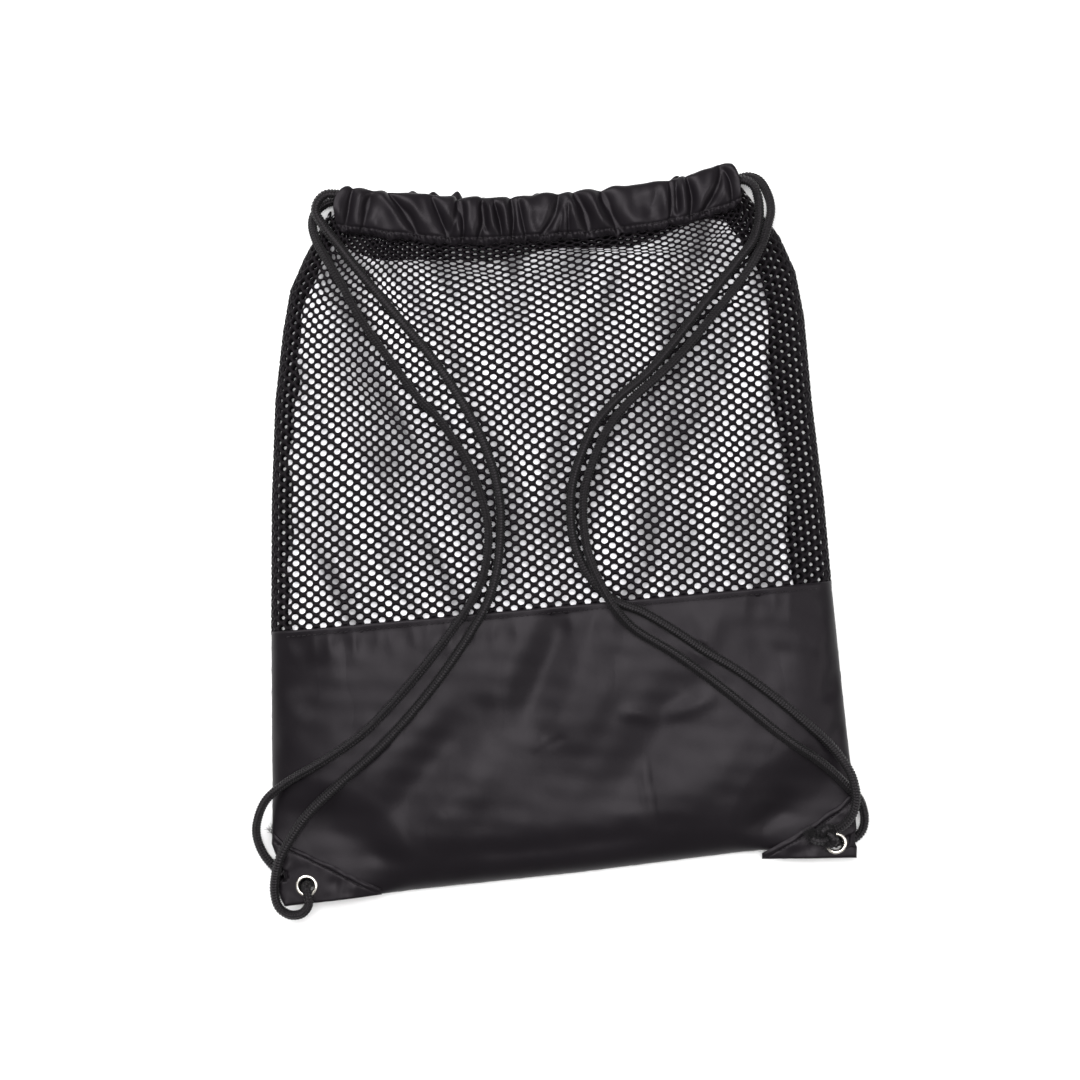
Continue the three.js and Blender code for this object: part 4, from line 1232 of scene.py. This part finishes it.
def build_corner_patches(context):
    nylon = material_named("nylon")
    for side, corner in (("left", LEFT_CORNER), ("right", RIGHT_CORNER)):
        edge = left_side if corner["side"] < 0 else right_side
        u = np.linspace(0, 1, 70)[None] * np.ones(50)[:, None]
        v = np.linspace(0, 1, 50)[:, None] * np.ones(70)[None]
        inward = u * corner["across"]
        y = corner["bottom"] + v * patch_tall(corner, u)
        y += 0.5 * np.sin(inward / 2.3) * v * (1 - u) + patch_rise(corner, u, v)
        x = edge(np.maximum(y, BOTTOM_Y)) - corner["side"] * inward
        flare = corner["flare"] * (1 - u) ** 3 * np.exp(-((y - corner["y"]) / 13) ** 2)
        x = x + corner["side"] * flare
        if corner["side"] > 0:
            x, y, u, v = x[:, ::-1], y[:, ::-1], u[:, ::-1], v[:, ::-1]
        z = patch_height(x, y) + PATCH_THICKNESS
        folded = (1 - v) * patch_tall(corner, u)
        z = z + 0.45 * np.exp(-((folded - 2.2) / 1.6) ** 2)
        z = z - 0.35 * np.exp(-((folded - 4.6) / 0.7) ** 2)
        rim = np.minimum(np.minimum(u, 1 - u) * corner["across"], v * patch_tall(corner, u))
        z = z - 0.9 * (1 - quarter_round(rim / 1.8))
        away = np.minimum(corner_distance(corner, x, y), 30)
        z = z + smooth((away - 9) / 10) * (0.5 * ripples(x, y, 40, 22) + 0.3 * ripples(x, y, 41, 9))
        z = under_cords(x, y, z)
        points, faces = closed_sheet(np.stack([x, y, z], axis=-1), 0.45, punched)
        piece = make_piece(f"{side}_reinforced_corner", points, faces, nylon, "bag",
                           [f"{side}_corner_patch"])


# ------------------------------------------------------------------------------- eyelets

def build_eyelets(context):
    metal = material_named("metal")
    segments = 72
    angle = np.linspace(0, 2 * math.pi, segments, endpoint=False)
    for side, corner in (("left", LEFT_CORNER), ("right", RIGHT_CORNER)):
        seat = corner["lift"] + EDGE_HEIGHT + PATCH_GAP + PATCH_THICKNESS + 0.3
        foot = corner["lift"] - 0.2
        rim = [(7.0, seat), (7.02, seat + 0.3), (6.8, seat + 0.62), (6.4, seat + 0.88),
               (5.9, seat + 1.0), (5.4, seat + 0.94), (4.98, seat + 0.68),
               (4.72, seat + 0.25), (4.6, seat - 0.4), (4.6, foot), (5.4, foot),
               (5.4, seat - 0.1), (6.6, seat - 0.1)]
        under = [(5.8, foot - 0.6), (6.9, foot - 0.6), (7.0, foot - 0.35), (6.9, foot - 0.1),
                 (5.8, foot - 0.1)]
        for profile, name, node in ((rim, "eyelet_ring", "eyelet"),
                                    (under, "eyelet_backing", "eyelet_washer")):
            count = len(profile)
            grid = np.array([[(corner["x"] + r * math.cos(a), corner["y"] + r * math.sin(a), z)
                              for r, z in profile] for a in angle])
            i = np.arange(segments)[:, None] * count
            nxt = ((np.arange(segments) + 1) % segments)[:, None] * count
            j = np.arange(count)[None]
            k = (j + 1) % count
            faces = np.stack([i + j, i + k, nxt + k, nxt + j], axis=-1).reshape(-1, 4)
            make_piece(f"{side}_{name}", grid.reshape(-1, 3), [faces], metal, "bag",
                       [f"{side}_{node}"])


# ---------------------------------------------------------------------- seams, stitching

def stitch_row(points, height, pitch, length, radius):
    """A row of stitches lying on a surface along a line of x, y points."""
    line = smooth_path([[x, y, 0] for x, y in points], pitch)
    ahead = tangents(line)
    parts = []
    for p, d in zip(line, ahead):
        t = np.linspace(-0.5, 0.5, 6)[:, None]
        body = p + d * t * length
        lift = height(body[:, 0], body[:, 1]) + radius * (1.3 - 6.5 * t[:, 0] ** 2)
        body = np.column_stack([body[:, :2], lift])
        swell = (radius * np.sqrt(np.maximum(1 - (2 * t) ** 6, 0.12)))
        parts.append(tube_mesh(tube_grid(body, 6, swell)))
    return joined(parts)


def build_stitching(context):
    thread = material_named("thread")
    hem_y = SEAM_Y - 4

    def hem_height(x, y):
        return under_cords(x, y, front_height(x, y) + 0.35)

    hem = [(left_side(hem_y) + 12, hem_y), (-60, hem_y), (60, hem_y),
           (right_side(hem_y) - 12, hem_y)]
    points, faces = stitch_row(hem, hem_height, 3.4, 2.5, 0.42)
    make_piece("hem_stitches", points, faces, thread, "bag",
               ["front_hem_stitching"])

    line = [(x, float(casing_y(x)) - 11.2) for x in (-102, -76, -38, 0, 40, 80, 110, 140)]
    points, faces = stitch_row(line, lambda x, y: np.full_like(x, FRONT_CASING_Z + 3.7),
                               3.0, 2.2, 0.3)
    make_piece("casing_stitches", points, faces, thread, "bag",
               ["casing_stitching"])

    for side, corner in (("left", LEFT_CORNER), ("right", RIGHT_CORNER)):
        edge = left_side if corner["side"] < 0 else right_side
        line = []
        for across in np.linspace(0.06, 0.8, 6):
            y = corner["bottom"] + patch_tall(corner, across) - 4.6
            y += patch_rise(corner, across, 0.9)
            line.append((float(edge(max(y, BOTTOM_Y)))
                         - corner["side"] * across * corner["across"], y))
        points, faces = stitch_row(
            line, lambda x, y: under_cords(x, y, patch_height(x, y) + PATCH_THICKNESS - 0.1),
            2.8, 2.1, 0.36)
        make_piece(f"{side}_corner_stitches", points, faces, thread, "bag",
                   [f"{side}_patch_stitching"])


def build_seams(context):
    """The seam allowances between the front and the back, as soft rolled strips."""
    nylon = material_named("nylon")
    for side, edge, top, inward in (("left", left_side, 199, 1), ("right", right_side, 189, -1)):
        y = np.linspace(BOTTOM_Y + 4, top, 240)
        x = edge(y) + inward * 2.0
        z = corner_lift(x, y) + 1.6 + 0.15 * np.sin(y / 3.1)
        line = np.stack([x + 0.25 * np.sin(y / 2.3), y, z], axis=1)
        points, faces = tube_mesh(tube_grid(line, 10, 2.0, 0.45))
        make_piece(f"{side}_side_seam_roll", points, faces, nylon, "bag",
                   [f"{side}_side_seam"])
    x = np.linspace(-157, 157, 240)
    y = np.full_like(x, BOTTOM_Y + 2.0)
    z = corner_lift(x, y) + 1.6
    line = np.stack([x, y + bottom_rise(x, y) + 0.3 * np.sin(x / 4), z], axis=1)
    points, faces = tube_mesh(tube_grid(line, 10, 2.0, 0.45))
    make_piece("bottom_seam_roll", points, faces, nylon, "bag", ["bottom_seam"])


# --------------------------------------------------------------------------------- stage

def build_camera(context):
    camera = bpy.data.cameras.new("camera")
    camera.lens, camera.sensor_width = 100, 36
    camera.clip_end = 50
    holder = bpy.data.objects.new("camera", camera)
    holder.location = (0.0012, -0.008, 1.93)
    holder.rotation_euler = (0, 0, math.radians(-5.2))
    context.scene.collection.objects.link(holder)
    context.scene.camera = holder


def add_area_light(context, name, location, target, size, power, colour):
    light = bpy.data.lights.new(name, "AREA")
    light.shape, light.size, light.energy, light.color = "SQUARE", size, power, colour
    holder = bpy.data.objects.new(name, light)
    holder.location = location
    way = np.array(target, float) - np.array(location, float)
    pitch = math.atan2(math.hypot(way[0], way[1]), -way[2])
    holder.rotation_euler = (pitch, 0, math.atan2(way[1], way[0]) - math.pi / 2)
    context.scene.collection.objects.link(holder)


def build_stage(context):
    settings = context.scene.bag_stage
    floor = bpy.data.meshes.new("floor")
    half = settings.floor_size / 2
    floor.from_pydata([(-half, -half, 0), (half, -half, 0), (half, half, 0), (-half, half, 0)],
                      [], [(0, 1, 2, 3)])
    floor.materials.append(material_named("floor"))
    holder = bpy.data.objects.new("floor", floor)
    holder.location.z = -0.0004
    context.scene.collection.objects.link(holder)
    power = settings.light_power
    add_area_light(context, "overhead_softbox", (-0.9, 1.2, 1.5), (0, 0, 0), 1.2, power,
                   (1, 1, 1))
    add_area_light(context, "frontal_softbox", (0.1, 0.25, 2.3), (0, 0, 0), 1.1, power,
                   (1, 1, 1))
    add_area_light(context, "side_softbox", (1.6, -0.4, 1.3), (0, 0, 0), 1.2, power * 0.3,
                   (1, 0.99, 0.98))
    world = bpy.data.worlds.new("studio")
    world.use_nodes = True
    tree = world.node_tree
    background = tree.nodes["Background"]
    background.inputs[0].default_value = (1, 1, 1, 1)
    seen = tree.nodes.new("ShaderNodeLightPath").outputs["Is Camera Ray"]
    strength = math_node(tree, "MAXIMUM", seen, settings.room_light)
    tree.links.new(strength, background.inputs[1])
    context.scene.world = world
    context.scene.view_settings.view_transform = "Standard"


# ------------------------------------------------------------- settings, operators, panel

class BagSizes(bpy.types.PropertyGroup):
    """Sizes of the net that a user may change."""

    hole_width: bpy.props.FloatProperty(
        name="Hole width", description="Width of a hole of the net",
        default=0.0045, min=0.001, unit="LENGTH")
    hole_height: bpy.props.FloatProperty(
        name="Hole height", description="Height of a hole of the net",
        default=0.0037, min=0.001, unit="LENGTH")
    column_pitch: bpy.props.FloatProperty(
        name="Column pitch", description="Distance from one column of holes to the next",
        default=0.0047, min=0.002, unit="LENGTH")
    row_pitch: bpy.props.FloatProperty(
        name="Row pitch", description="Distance between two holes of one column",
        default=0.0068, min=0.002, unit="LENGTH")
    net_thickness: bpy.props.FloatProperty(
        name="Net thickness", description="Thickness of the knitted yarn",
        default=0.0007, min=0.0001, unit="LENGTH")


class BagColours(bpy.types.PropertyGroup):
    """Colours of the bag's finishes."""

    nylon: bpy.props.FloatVectorProperty(
        name="Nylon", description="Colour of the satin nylon",
        default=(0.0060, 0.0050, 0.0062), subtype="COLOR", min=0, max=1)
    net: bpy.props.FloatVectorProperty(
        name="Net", description="Colour of the knitted net",
        default=(0.0046, 0.0038, 0.0048), subtype="COLOR", min=0, max=1)
    liner: bpy.props.FloatVectorProperty(
        name="Liner", description="Colour of the cloth behind the net",
        default=(0.95, 0.94, 0.97), subtype="COLOR", min=0, max=1)
    cord: bpy.props.FloatVectorProperty(
        name="Cord", description="Colour of the braided cord",
        default=(0.0022, 0.0020, 0.0023), subtype="COLOR", min=0, max=1)
    thread: bpy.props.FloatVectorProperty(
        name="Thread", description="Colour of the sewing thread",
        default=(0.0045, 0.0040, 0.0046), subtype="COLOR", min=0, max=1)
    metal: bpy.props.FloatVectorProperty(
        name="Eyelets", description="Colour of the plated eyelets",
        default=(0.80, 0.76, 0.70), subtype="COLOR", min=0, max=1)


class BagStage(bpy.types.PropertyGroup):
    """Floor and light."""

    floor_size: bpy.props.FloatProperty(
        name="Floor size", description="Side of the square floor",
        default=3.4, min=1.0, unit="LENGTH")
    light_power: bpy.props.FloatProperty(
        name="Light power", description="Power of the main soft light in watts",
        default=46.0, min=0.0)
    room_light: bpy.props.FloatProperty(
        name="Room light", description="Strength of the even light from all round",
        default=0.4, min=0.0)


def operator_class(idname, label, text, build):
    """One operator that runs one building function."""

    def execute(self, context):
        build(context)
        return {"FINISHED"}

    return type(idname, (bpy.types.Operator,), {
        "__doc__": text, "bl_idname": "backpack." + idname.lower(), "bl_label": label,
        "bl_options": {"REGISTER", "UNDO"}, "execute": execute})


OPERATORS = [
    operator_class("camera", "Camera", "Add the camera above the bag", build_camera),
    operator_class("cords", "Cords", "Add the braided cord straps", build_cords),
    operator_class("lower_panels", "Nylon panels", "Add the plain lower panels",
                   build_lower_panels),
    operator_class("net", "Net panels", "Add the front and back net", build_net),
    operator_class("liner", "Liner", "Add the white cloth behind the net", build_liner),
    operator_class("casings", "Casings", "Add the gathered casings", build_casings),
    operator_class("patches", "Corner patches", "Add the reinforced corners",
                   build_corner_patches),
    operator_class("eyelets", "Eyelets", "Add the plated eyelets", build_eyelets),
    operator_class("seams", "Seams", "Add the side and bottom seams", build_seams),
    operator_class("stitching", "Stitching", "Add every row of stitches", build_stitching),
    operator_class("knots", "Knots", "Add the knots and frayed ends", build_knots),
    operator_class("stage", "Stage", "Add the floor and the soft light", build_stage),
]


class BackpackPanel(bpy.types.Panel):
    """Lists the settings and the pieces in the sidebar."""

    bl_idname = "VIEW3D_PT_backpack"
    bl_label = "Backpack"
    bl_space_type = "VIEW_3D"
    bl_region_type = "UI"
    bl_category = "Backpack"

    def draw(self, context):
        scene = context.scene
        for group in (scene.bag_sizes, scene.bag_colours, scene.bag_stage):
            box = self.layout.box()
            for name in group.__annotations__:
                box.prop(group, name)
        for operator in OPERATORS:
            self.layout.operator(operator.bl_idname)


CLASSES = [BagSizes, BagColours, BagStage, *OPERATORS, BackpackPanel]


def register():
    for cls in CLASSES:
        bpy.utils.register_class(cls)
    bpy.types.Scene.bag_sizes = bpy.props.PointerProperty(type=BagSizes)
    bpy.types.Scene.bag_colours = bpy.props.PointerProperty(type=BagColours)
    bpy.types.Scene.bag_stage = bpy.props.PointerProperty(type=BagStage)


def unregister():
    for name in ("bag_sizes", "bag_colours", "bag_stage"):
        delattr(bpy.types.Scene, name)
    for cls in reversed(CLASSES):
        bpy.utils.unregister_class(cls)


def main():
    register()
    for operator in OPERATORS:
        getattr(bpy.ops.backpack, operator.bl_idname.split(".")[1])()


if __name__ == "__main__":
    main()
